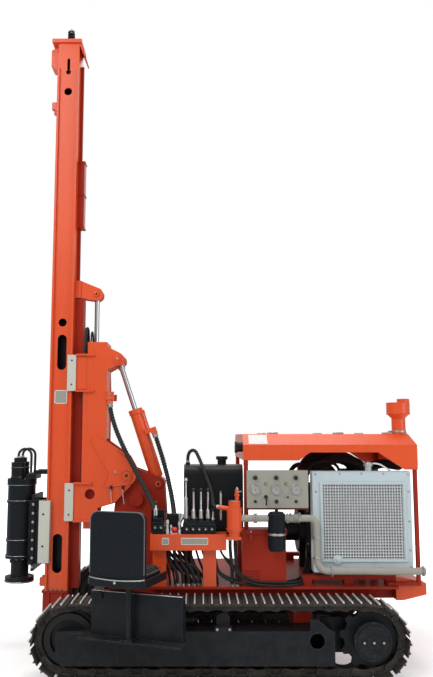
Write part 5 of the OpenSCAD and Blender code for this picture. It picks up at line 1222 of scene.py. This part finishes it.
class RIG_OT_cooler(bpy.types.Operator):
    """Builds the cooler's perforated guard, fins, fan, bolts and filler, and the trim of the air pipe"""
    bl_idname = "rig.cooler"
    bl_label = "Fit out the cooler"

    def execute(self, context):
        sizes = context.scene.rig_sizes
        low, high = corners("grille")
        guard = perforated(low, [high[0], low[1] + 0.003, high[2]], sizes.grille_columns, sizes.grille_rows)
        rim = [box(x, x + 6, -701, -690, 877, 1481, 1) for x in (852, 1514)]
        rim += [box(852, 1520, -701, -690, z, z + 6, 1) for z in (877, 1475)]
        put("cooler_guard", [(guard, "guard_enamel"), (join(*rim), "guard_enamel")], "root",
            ("grille",))
        fin = block((-0.001, -0.005, -0.300), (0.001, 0.005, 0.300), 0.0004)
        core = repeat(fin, spots(grid(np.arange(858, 1516, 7.0), -666, 1179)))
        tubes = join(*[box(853, 1519, -669, -661, z, z + 3, 0.5) for z in np.arange(890, 1475, 26.0)])
        put("cooler_core", [(core, "cooler_fins"), (tubes, "cooler_fins")], "root")
        # Fan behind the cooler: each blade is a strip of six lines across it, whose slope changes outwards
        blades = []
        for a in np.arange(7) * 2 * math.pi / 7:
            ends = []
            for r in np.linspace(68, 306, 6):
                half, twist = 34 + r * 0.12, math.radians(62 - r * 0.11)
                for u in SIDES:
                    turn, depth = u * half * math.sin(twist) / r, u * half * math.cos(twist) * 0.36
                    x, z = 1177.5 + r * math.cos(a + turn), 1181 + r * math.sin(a + turn)
                    ends.append([x, -557 + depth, z])
            front = np.array(ends).reshape(6, 2, 3)
            skin = np.concatenate([front, front[:, ::-1] + [0, 3, 0]], 1)
            blades.append((spots(skin.reshape(-1, 3)), lattice(6, 4)))
        hub = post((1177.5, -574, 1181), FAR, [(0, 40), (4, 62), (30, 70), (33, 70)])
        put("cooler_fan", [(join(*blades), "black_plastic"), (hub, "black_plastic")], "root")
        # Bolts, cap, filler and overflow hose
        bolt_places = grid((800, 1564), -700, (815, 950, 1180, 1420, 1560))
        bolt_places += grid((1000, 1180, 1360), -700, 1566)
        line = [(1262, -640, 1640), (1300, -648, 1648), (1344, -655, 1640), (1384, -655, 1618),
                (1420, -648, 1596), (1440, -640, 1588)]
        cap = [(0, 37), (3, 37), (5, 34), (5, 14), (14, 13), (16, 11)]
        put("cooler_trim", [
            (heads(bolt_places, NEAR, 8, 4), "zinc_steel"),
            (post((963, -717, 877), NEAR, cap, 36), "silver_paint"),
            (post((1250, -640, 1625), UP, [(0, 39), (4, 40), (26, 40), (31, 36)], 12), "bright_steel"),
            (post((1250, -640, 1656), UP, [(0, 16), (5, 16), (7, 12)], 20), "bright_steel"),
            (rod(line, 7, 10, smooth=True), "white_plastic"),
            (box(833, 1539, -716, -708, 858, 866, 2), "silver_paint"),
            (box(771, 1584, -702, -699, 1580, 1586.5, 1), "silver_paint"),
        ], "root")
        # Air pipe: sleeve bands, saddles, flange bolts and filter band
        bands = [ring((x, -790, 1215), REAR, 29, 38, 12) for x in (566, 640)]
        bands += [ring((785, -790, z), UP, 28.5, 34, 14) for z in (1060, 900)]
        ears = [box(x + 1, x + 11, -830, -806, 1246, 1262, 1) for x in (566, 640)]
        saddles = [box(x, x + 24, -806, -700, 792, 806, 2) for x in (1000, 1400)]
        put("pipe_trim", [
            (join(*bands), "zinc_steel"), (join(*ears), "zinc_steel"), (join(*saddles), "red_enamel"),
            (heads(around((294, -790, 1215), 33, 6, "x"), REAR, 6), "zinc_steel"),
            (heads(around((546, -790, 1215), 33, 6, "x"), FRONT, 6), "zinc_steel"),
            (heads(around((1628, -790, 800), 33, 6, "x"), FRONT, 6), "zinc_steel"),
            (ring((122, -790, 1352), UP, 20, 50, 4), "zinc_steel"),
            (heads(around((122, -790, 1352), 40, 6, "z"), UP, 6), "zinc_steel"),
            (post((144, -790, 1446), UP, [(0, 12), (8, 12), (9, 8), (16, 8), (18, 6)], 6), "bright_steel"),
            (post((144, -806, 1424), (0.8, -0.6, 0.2), [(0, 9), (14, 9), (15, 6), (40, 6)], 6),
             "bright_steel"),
            (ring((462, -790, 1083), UP, 70, 77, 18), "zinc_steel"),
            (box(450, 474, -874, -862, 1084, 1100, 2), "zinc_steel"),
        ], "root")
        return {"FINISHED"}


class RIG_OT_engine(bpy.types.Operator):
    """Builds the engine's bolts, belt, lines and hoses, and the trim of hood, lamp, tank and battery box"""
    bl_idname = "rig.engine"
    bl_label = "Fit out the engine bay"

    def execute(self, context):
        cylinders = np.arange(880, 1320, 96)
        injector = [(0, 13), (14, 13), (15, 9), (40, 8), (42, 5)]
        canister = [(0, 34), (3, 40), (110, 40), (113, 36)]
        lines = []
        for k, x in enumerate(cylinders):
            port = 1080 + 14 * k
            lines.append(rod([(x, -60, 1480), (x + 6, -90, 1494), (x + 20, -170, 1440), (port, -246, 1330),
                              (port, -262, 1240)], 4, 6, smooth=True))
        # The belt is half a circle round each pulley, joined by straight runs
        belt = []
        for a in np.linspace(0, 2 * math.pi, 40, endpoint=False):
            height, r = (1304, 61) if math.cos(a) > 0 else (1034, 81)
            belt.append((1440, r * math.sin(a), height + r * math.cos(a)))
        put("engine_trim", [
            (heads(grid(np.arange(850, 1340, 68), (-120, 120), 1444), UP, 10), "zinc_steel"),
            (heads(both(grid(np.arange(800, 1390, 84), -230, (930, 1214))), NEAR, 9), "zinc_steel"),
            (heads(both(grid(np.arange(850, 1340, 96), -180, 1300)), NEAR, 12), "zinc_steel"),
            (join(*[post((x, -60, 1440), UP, injector, 6) for x in cylinders]), "zinc_steel"),
            (join(*lines), "zinc_steel"), (rod(belt, 7, 6, loop=True), "hose_rubber"),
            (join(*[post((x, -300, 1060), UP, canister, 28) for x in (900, 1000)]), "orange_enamel"),
            (box(880, 1030, -330, -229, 1172, 1196), "cast_iron"),
            (ring((1259, 330, 1344), REAR, 30, 52, 10), "cast_iron"),
            (heads(around((1269, 330, 1344), 42, 4, "x", 0.5), REAR, 7), "zinc_steel"),
        ], "root")
        # Air hoses and looms in the space over the engine: radius and the points of the way
        parts = []
        for r, points in (
                (46, [(790, -40, 1440), (800, -30, 1520), (850, -10, 1585), (930, 10, 1604), (1010, 20, 1584),
                      (1060, 20, 1520), (1070, 20, 1440)]),
                (30, [(830, 150, 1430), (846, 150, 1520), (900, 150, 1590), (980, 150, 1620),
                      (1060, 150, 1590), (1116, 150, 1520), (1130, 150, 1440)]),
                (40, [(1330, -100, 1440), (1350, -110, 1530), (1400, -160, 1600), (1462, -260, 1630),
                      (1516, -380, 1628), (1546, -480, 1624), (1550, -520, 1640)]),
                (22, [(720, 120, 1234), (700, 140, 1360), (690, 150, 1480), (720, 170, 1570),
                      (800, 200, 1606), (900, 220, 1560), (930, 230, 1480), (934, 230, 1364)]),
                (16, [(1180, -60, 1440), (1200, 0, 1520), (1260, 60, 1560), (1340, 120, 1540),
                      (1396, 180, 1470), (1420, 240, 1340)]),
                (60, [(800, 60, 1450), (812, 60, 1570), (880, 55, 1660), (1000, 50, 1690), (1130, 50, 1684),
                      (1240, 60, 1640), (1290, 70, 1550), (1300, 70, 1450)]),
                (44, [(900, -170, 1430), (916, -200, 1560), (990, -230, 1650), (1100, -240, 1676),
                      (1220, -230, 1650), (1310, -200, 1580), (1330, -180, 1450)]),
                (36, [(1000, 250, 1340), (1010, 260, 1520), (1060, 270, 1640), (1170, 280, 1690),
                      (1290, 280, 1670), (1370, 270, 1580), (1390, 260, 1450)]),
                (13, [(760, -300, 1300), (760, -310, 1460), (790, -320, 1580), (860, -330, 1640),
                      (960, -330, 1655), (1060, -320, 1600), (1080, -300, 1460)])):
            parts.append((ribbed(points, r, 14 if r > 25 else 9, r * 0.07, 18), "hose_rubber"))
        parts += [(ring((790, -40, 1440), UP, 40, 54, 20), "zinc_steel"),
                  (ring((1330, -100, 1440), UP, 36, 48, 20), "zinc_steel"),
                  (box(1150, 1300, 40, 220, 1443, 1560, 12), "black_plastic"),
                  (box(1165, 1285, 60, 200, 1560, 1572, 4), "black_plastic")]
        put("engine_hoses", parts, "root")

        # Hood: bead along the lower edge, blank plate on the bevel, rivets, hinges, intake and lamp
        edge = [(205, 1677), (669, 1677), (762, 1743), (1330, 1743), (1493, 1636), (1548, 1601), (1656, 1601)]
        slope = [(-663, 1809.5), (-588, 1884.5), (-589.5, 1886), (-664.5, 1811)]
        hinge_places, barrel = (420, 980, 1400), [(0, 7), (2, 8), (88, 8), (90, 7)]
        hinges = [mirrored(box(x, x + 90, -560, -520, 1893, 1899)) for x in hinge_places]
        barrels = [mirrored(post((x, -540, 1901), REAR, barrel, 14)) for x in hinge_places]
        lens = [(0, 38), (2, 38), (8, 30), (12, 14), (13, 4)]
        put("hood_trim", [
            (mirrored(rod([(x, -670, z) for x, z in edge], 3.5)), "orange_enamel"),
            (slab(slope, 252, 409, "x"), "white_plate"),
            (heads(both(grid(np.arange(240, 1640, 100), -670, 1790)), NEAR, 4, 2), "orange_enamel"),
            (join(*hinges), "orange_enamel"), (join(*barrels), "zinc_steel"),
            (ring((1550, -520, 2060), UP, 92, 101, 5), "orange_enamel"),
            (ring((1550, -520, 2156), UP, 60, 100, 5), "orange_enamel"),
            (ring((1550, -520, 1908), UP, 57, 62, 15), "zinc_steel"),
            (box(1478, 1494, -534, -506, 1908, 1923), "zinc_steel"),
            (post((1478, -520, 1916), FRONT, [(0, 5), (22, 5)], 10), "zinc_steel"),
            (heads(around((1550, -520, 1905), 64, 6, "z"), UP, 6), "zinc_steel"),
            (post((145, -600, 1783), FRONT, lens, 36), "white_plastic"),
            (ring((143, -600, 1783), FRONT, 39, 48, 6), "black_plastic"),
        ], "root")
        # Tank: level glass, cap grips and flange bolts. Battery box: louvres and screws
        grips = [box(x - 4, x + 4, y - 4, y + 4, 1672, 1697, 1) for x, y in circle(47.0, 12) + [36, -330]]
        louvres = [box(206, 330, -694, -689, z, z + 7, 2) for z in np.arange(720, 800, 20)]
        put("tank_trim", [
            (box(12, 28, -534, -531, 1186, 1394, 1), "white_plastic"),
            (box(17, 23, -535, -533, 1196, 1290, 1), "red_plastic"),
            (heads(grid(20, -532, (1177, 1403)), NEAR, 6), "zinc_steel"), (join(*grips), "black_plastic"),
            (heads(grid(np.arange(-290, 215, 71), -528, 1036), UP, 7), "zinc_steel"),
            (join(*louvres), "red_enamel"), (heads(grid((261, 501), -708, 1098), NEAR, 6), "zinc_steel"),
        ], "root")
        return {"FINISHED"}


# Undercarriage

class RIG_OT_undercarriage(bpy.types.Operator):
    """Builds the bolts and plugs of hubs and track frames, and the rams that tighten the tracks"""
    bl_idname = "rig.undercarriage"
    bl_label = "Fit out the undercarriage"

    def execute(self, context):
        hub = around((1176, -964, 304), 133, 12) + around((-1176, -911, 304), 50, 6)
        cover = around((1176, -980, 304), 100, 6, "y", 0.5)
        port = around((741, -997, 318), 62, 6, "y", 0.5)
        plugs = [post((x, -992, 304), NEAR, [(0, 10), (4, 10), (5, 8)], 6) for x in (1176, 1102, 1250)]
        ram = [(0, 30), (2, 33), (20, 33), (21, 40), (150, 40), (151, 43), (168, 43), (170, 40), (171, 24),
               (196, 24), (198, 20)]
        put("undercarriage_trim", [
            (mirrored(heads(hub, NEAR, 10, 6)), "navy_enamel"),
            (mirrored(heads(cover, NEAR, 7, 4)), "navy_enamel"),
            (mirrored(heads(grid((-24, 72), -994, 403), NEAR, 8, 5)), "zinc_steel"),
            (mirrored(*plugs), "zinc_steel"), (mirrored(heads(port, NEAR, 5, 2.5)), "navy_enamel"),
            (mirrored(post((-372, -806, 431), REAR, ram, 28)), "black_enamel"),
        ], "root")
        return {"FINISHED"}


# Seat

# The seat and its platform stand turned outwards on the post's foot
SEAT_FOOT = (-629, -1205)
SEAT_COS, SEAT_SIN = math.cos(math.radians(20)), math.sin(math.radians(20))


def on_seat(points):
    """Points in metres from the middle of the seat pan's rear edge, as the seat stands on its platform."""
    u, v, w = (np.atleast_2d(np.asarray(points, float)) - [0.090, 0.150, 0]).T
    return at(*SEAT_FOOT, 780) + np.stack([u * SEAT_COS + v * SEAT_SIN, v * SEAT_COS - u * SEAT_SIN, w], -1)


def on_platform(u, v, z):
    """A point in millimetres along and across the turned platform, at a height over the ground."""
    x, y = SEAT_FOOT
    return at(x + u * SEAT_COS + v * SEAT_SIN, y + v * SEAT_COS - u * SEAT_SIN, z)


def stuffed(low, high, facing, channels):
    """A sewn cushion as points and faces: a closed box of small faces blown up with cloth pressure. A point
    moves by the swell at most and not at all at the back. The facing side is crowned by one less the fourth
    power of the way to its rim, and channels are pressed into it, each as deep as a bell curve of the way
    to its middle. A channel is the number of its axis and its place on it."""
    swell = 0.013
    low, high = np.array(low), np.array(high)
    mesh = bpy.data.meshes.new("stuffing")
    points, faces = block(low, high, 0.024)
    mesh.from_pydata(points.tolist(), [], [q for f in faces for q in f.tolist()])
    piece = bpy.data.objects.new("stuffing", mesh)
    scene = bpy.context.scene
    scene.collection.objects.link(piece)
    remesh = piece.modifiers.new("remesh", "REMESH")
    remesh.mode, remesh.voxel_size = "VOXEL", 0.007
    fine = bpy.data.meshes.new_from_object(piece.evaluated_get(bpy.context.evaluated_depsgraph_get()))
    piece.modifiers.clear()
    piece.data = fine
    start = np.empty(len(fine.vertices) * 3)
    fine.vertices.foreach_get("co", start)
    start = start.reshape(-1, 3)
    swollen = start.copy()
    cloth = piece.modifiers.new("cloth", "CLOTH")
    cloth.settings.use_pressure = True
    cloth.settings.uniform_pressure_force = 4.0
    cloth.settings.effector_weights.gravity = 0.0
    cloth.point_cache.frame_end = 20
    for step in range(1, 21):
        scene.frame_set(step)
    blown = piece.evaluated_get(bpy.context.evaluated_depsgraph_get()).data
    swollen = np.empty(start.size)
    blown.vertices.foreach_get("co", swollen)
    swollen = swollen.reshape(-1, 3)
    scene.frame_set(1)
    move = swollen - start
    length = np.linalg.norm(move, axis=1)[:, None]
    move *= np.minimum(1.0, swell / np.maximum(length, 1e-6))
    front = np.clip((start[:, facing] - low[facing]) / (high[facing] - low[facing]), 0, 1)[:, None]
    # The middle of the facing side stands proudest, the more the further from its rim
    across = [k for k in range(3) if k != facing]
    share = np.abs(start - (low + high) / 2) / (high - low) * 2
    crown = np.prod(1 - np.clip(share[:, across], 0, 1) ** 4, axis=1)[:, None]
    points = start + move * np.minimum(1.0, front * 3)
    press = np.zeros(len(points))
    for axis, where in channels:
        press = np.maximum(press, np.exp(-((start[:, axis] - where) / 0.008) ** 2))
    points[:, facing] += (front[:, 0] > 0.8) * (0.006 * crown[:, 0] - 0.011 * press)
    quads = np.empty(len(fine.loops), np.int32)
    fine.loops.foreach_get("vertex_index", quads)
    sides = np.array([len(p.vertices) for p in fine.polygons])
    starts = np.concatenate([[0], np.cumsum(sides)[:-1]])
    shapes = [quads[starts[sides == n][:, None] + np.arange(n)] for n in np.unique(sides)]
    bpy.data.objects.remove(piece)
    return points, shapes


class RIG_OT_seat(bpy.types.Operator):
    """Builds the seat's stuffed cushions with their piping, and the trim of its shell and platform"""
    bl_idname = "rig.seat"
    bl_label = "Upholster the seat"

    def execute(self, context):
        # Cushions: opposite corners, the axis of the facing side and the sewn channels. The piping's outline
        # is a rounded square: the cosine and sine of the angle, each to the power of 0.3
        turn = np.linspace(0, 2 * math.pi, 72, endpoint=False)
        for name, node, low, high, facing, channels in (
                ("seat_pad", "seat_cushion", (-0.197, 0.050, 0.031), (0.197, 0.408, 0.098), 2,
                 ((1, 0.16), (1, 0.30))),
                ("back_pad", "back_cushion", (-0.193, 0.041, 0.128), (0.193, 0.094, 0.512), 1,
                 ((2, 0.26), (2, 0.40)))):
            points, faces = stuffed(low, high, facing, channels)
            middle, half = (np.array(low) + high) / 2, (np.array(high) - low) / 2
            line = np.tile(np.array(high, float) - 0.012, (72, 1))
            across = [k for k in range(3) if k != facing]
            for k, wave in zip(across, (np.cos(turn), np.sin(turn))):
                line[:, k] = middle[k] + (half[k] + 0.004) * np.sign(wave) * np.abs(wave) ** 0.3
            # Piping round each cushion, whose lighter grey is partly a painted highlight along the rim
            piping = tube(on_seat(line), 0.0038, 8, loop=True)
            pad = put(name, [((on_seat(points), faces), "seat_vinyl"), (piping, "seat_piping_highlight")], "root",
                      (node,), smooth=70)
        # Shell: beading round the back, whose lighter grey is partly a painted highlight along its rim,
        # rolled lip of the pan with its apron, and screws
        turn = np.linspace(0, math.pi / 2, 7)
        arc = np.stack([0.160 + 0.060 * np.sin(turn), 0.480 + 0.060 * np.cos(turn)], -1)
        right = np.concatenate([arc, [[0.220, 0.30], [0.220, 0.10]]])
        left = (right * [-1, 1])[::-1]
        rim = [(u, 0.001, w) for u, w in np.concatenate([left, right])]
        lip = smooth_path([(-0.223, 0.004, 0.068), (-0.200, -0.010, 0.064), (-0.120, -0.018, 0.058),
                           (0, -0.021, 0.054), (0.120, -0.018, 0.058), (0.200, -0.010, 0.064),
                           (0.223, 0.004, 0.068)])
        apron = [(-0.012, -0.046), (0.010, -0.046), (0.010, 0.0), (-0.004, 0.0), (-0.012, -0.008)]
        pan = sweep(apron, on_seat(lip - [0, 0, 0.004]), up=np.array([0, 0, 1.0]))
        back = (-SEAT_SIN, -SEAT_COS, 0)
        screws = on_seat([(-0.165, 0.0, 0.40), (0.150, 0.0, 0.395), (-0.140, 0.0, 0.13), (0.130, 0.0, 0.12)])
        put("seat_trim", [
            (tube(on_seat(rim), 0.0045, 8), "seat_piping_highlight"), (tube(on_seat(lip), 0.005, 10), "bright_steel"),
            (pan, "navy_enamel"), (bolts(screws, back, 0.006, 0.003), "cast_iron"),
            (bolts(on_seat([(0, -0.030, 0.040)]), back, 0.008, 0.004), "bright_steel"),
        ], "root")
        # Bare edge of the platform's upright, worn bright by boots, and the cross tread of its step
        edge = np.array([on_platform(u, 1, 715.5) for u in np.linspace(-369, 369, 12)])
        stud = block((-0.011, -0.003, 0), (0.011, 0.003, 0.003), 0.001)
        places, turns = [], []
        for i, u in enumerate(np.arange(-300, 280, 34)):
            for j, v in enumerate(np.arange(-40, 50, 34)):
                angle = math.radians(45 if (i + j) % 2 else -45)
                c, s = math.cos(angle), math.sin(angle)
                places.append(on_platform(u, v - 60, 395))
                turns.append([[c, -s, 0], [s, c, 0], [0, 0, 1]])
        parts = [(tube(edge, 0.0028, 8), "bright_steel"), (repeat(stud, places, turns), "navy_enamel")]
        put("platform_trim", parts, "root")
        return {"FINISHED"}


# Free hoses

class RIG_OT_cords(bpy.types.Operator):
    """Builds the two free hoses of the mast's cylinders with their guards and end fittings"""
    bl_idname = "rig.cords"
    bl_label = "Hang the free hoses"

    def execute(self, context):
        routes = (
            ("front_hose", "hose_front", "carrier",
             ((-980, -150, 2170), (-968, -152, 2087), (-944, -158, 2003), (-913, -166, 1918),
              (-875, -176, 1833), (-833, -188, 1748), (-789, -202, 1666), (-744, -218, 1586),
              (-700, -237, 1509), (-658, -260, 1438), (-620, -287, 1372), (-587, -321, 1314),
              (-560, -364, 1267), (-540, -418, 1233), (-530, -486, 1215), (-530, -570, 1215))),
            ("rear_hose", "hose_rear", "tilt_barrel",
             ((-571.3, -95, 1897.2), (-547, -95, 1825), (-522, -100, 1750), (-497, -111, 1673),
              (-474, -128, 1596), (-452, -151, 1521), (-434, -180, 1448), (-417, -215, 1381),
              (-403, -258, 1320), (-392, -306, 1268), (-384, -362, 1226), (-378, -424, 1196),
              (-375, -494, 1180), (-375, -570, 1180))))
        fitting = [(-0.034, 0.024), (-0.030, 0.026), (-0.004, 0.026), (0.0, 0.024), (0.0, 0.030),
                   (0.014, 0.030), (0.016, 0.027)]
        for name, node, body, points in routes:
            line = even_line(points, 6.5)
            guard = rippled(line, 22.0, 3.5, 16)
            hose = put(name, [(guard, "hose_rubber")], ("root", body, line[-1], line[0]),
                       (node,), smooth=50)
            for end, inner, rides in ((line[0], line[3], body), (line[-1], line[-4], "root")):
                nut_shape = turned(fitting, end, end - inner, 6)
                put(f"{name}_{rides}_end", [(nut_shape, "zinc_steel")], rides)
        return {"FINISHED"}


class RIG_PT_sidebar(bpy.types.Panel):
    """Lists the rig's settings and pieces in the sidebar"""
    bl_idname = "RIG_PT_sidebar"
    bl_label = "Pile driver rig"
    bl_space_type = "VIEW_3D"
    bl_region_type = "UI"
    bl_category = "Rig"

    def draw(self, context):
        for group_name in ("rig_paint", "rig_sizes", "rig_stage"):
            settings = getattr(context.scene, group_name)
            part = self.layout.box()
            for key in settings.__annotations__:
                part.prop(settings, key)
        for operator in PIECES:
            self.layout.operator(operator.bl_idname)


SETTINGS = {"rig_paint": RigPaint, "rig_sizes": RigSizes, "rig_stage": RigStage}
PIECES = [RIG_OT_finishes, RIG_OT_dress_frame, RIG_OT_stage, RIG_OT_cords, RIG_OT_tracks, RIG_OT_mast,
          RIG_OT_slide, RIG_OT_head, RIG_OT_station, RIG_OT_cooler, RIG_OT_engine, RIG_OT_undercarriage,
          RIG_OT_seat]
CLASSES = [*SETTINGS.values(), *PIECES, RIG_PT_sidebar]


def register():
    """Registers the settings, pieces and panel."""
    for item in CLASSES:
        bpy.utils.register_class(item)
    for key, item in SETTINGS.items():
        setattr(bpy.types.Scene, key, bpy.props.PointerProperty(type=item))


def unregister():
    """Takes them away again, last first."""
    for key in SETTINGS:
        delattr(bpy.types.Scene, key)
    for item in reversed(CLASSES):
        bpy.utils.unregister_class(item)


def main():
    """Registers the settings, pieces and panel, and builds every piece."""
    register()
    for piece in PIECES:
        family, name = piece.bl_idname.split(".")
        getattr(getattr(bpy.ops, family), name)()


if __name__ == "__main__":
    main()
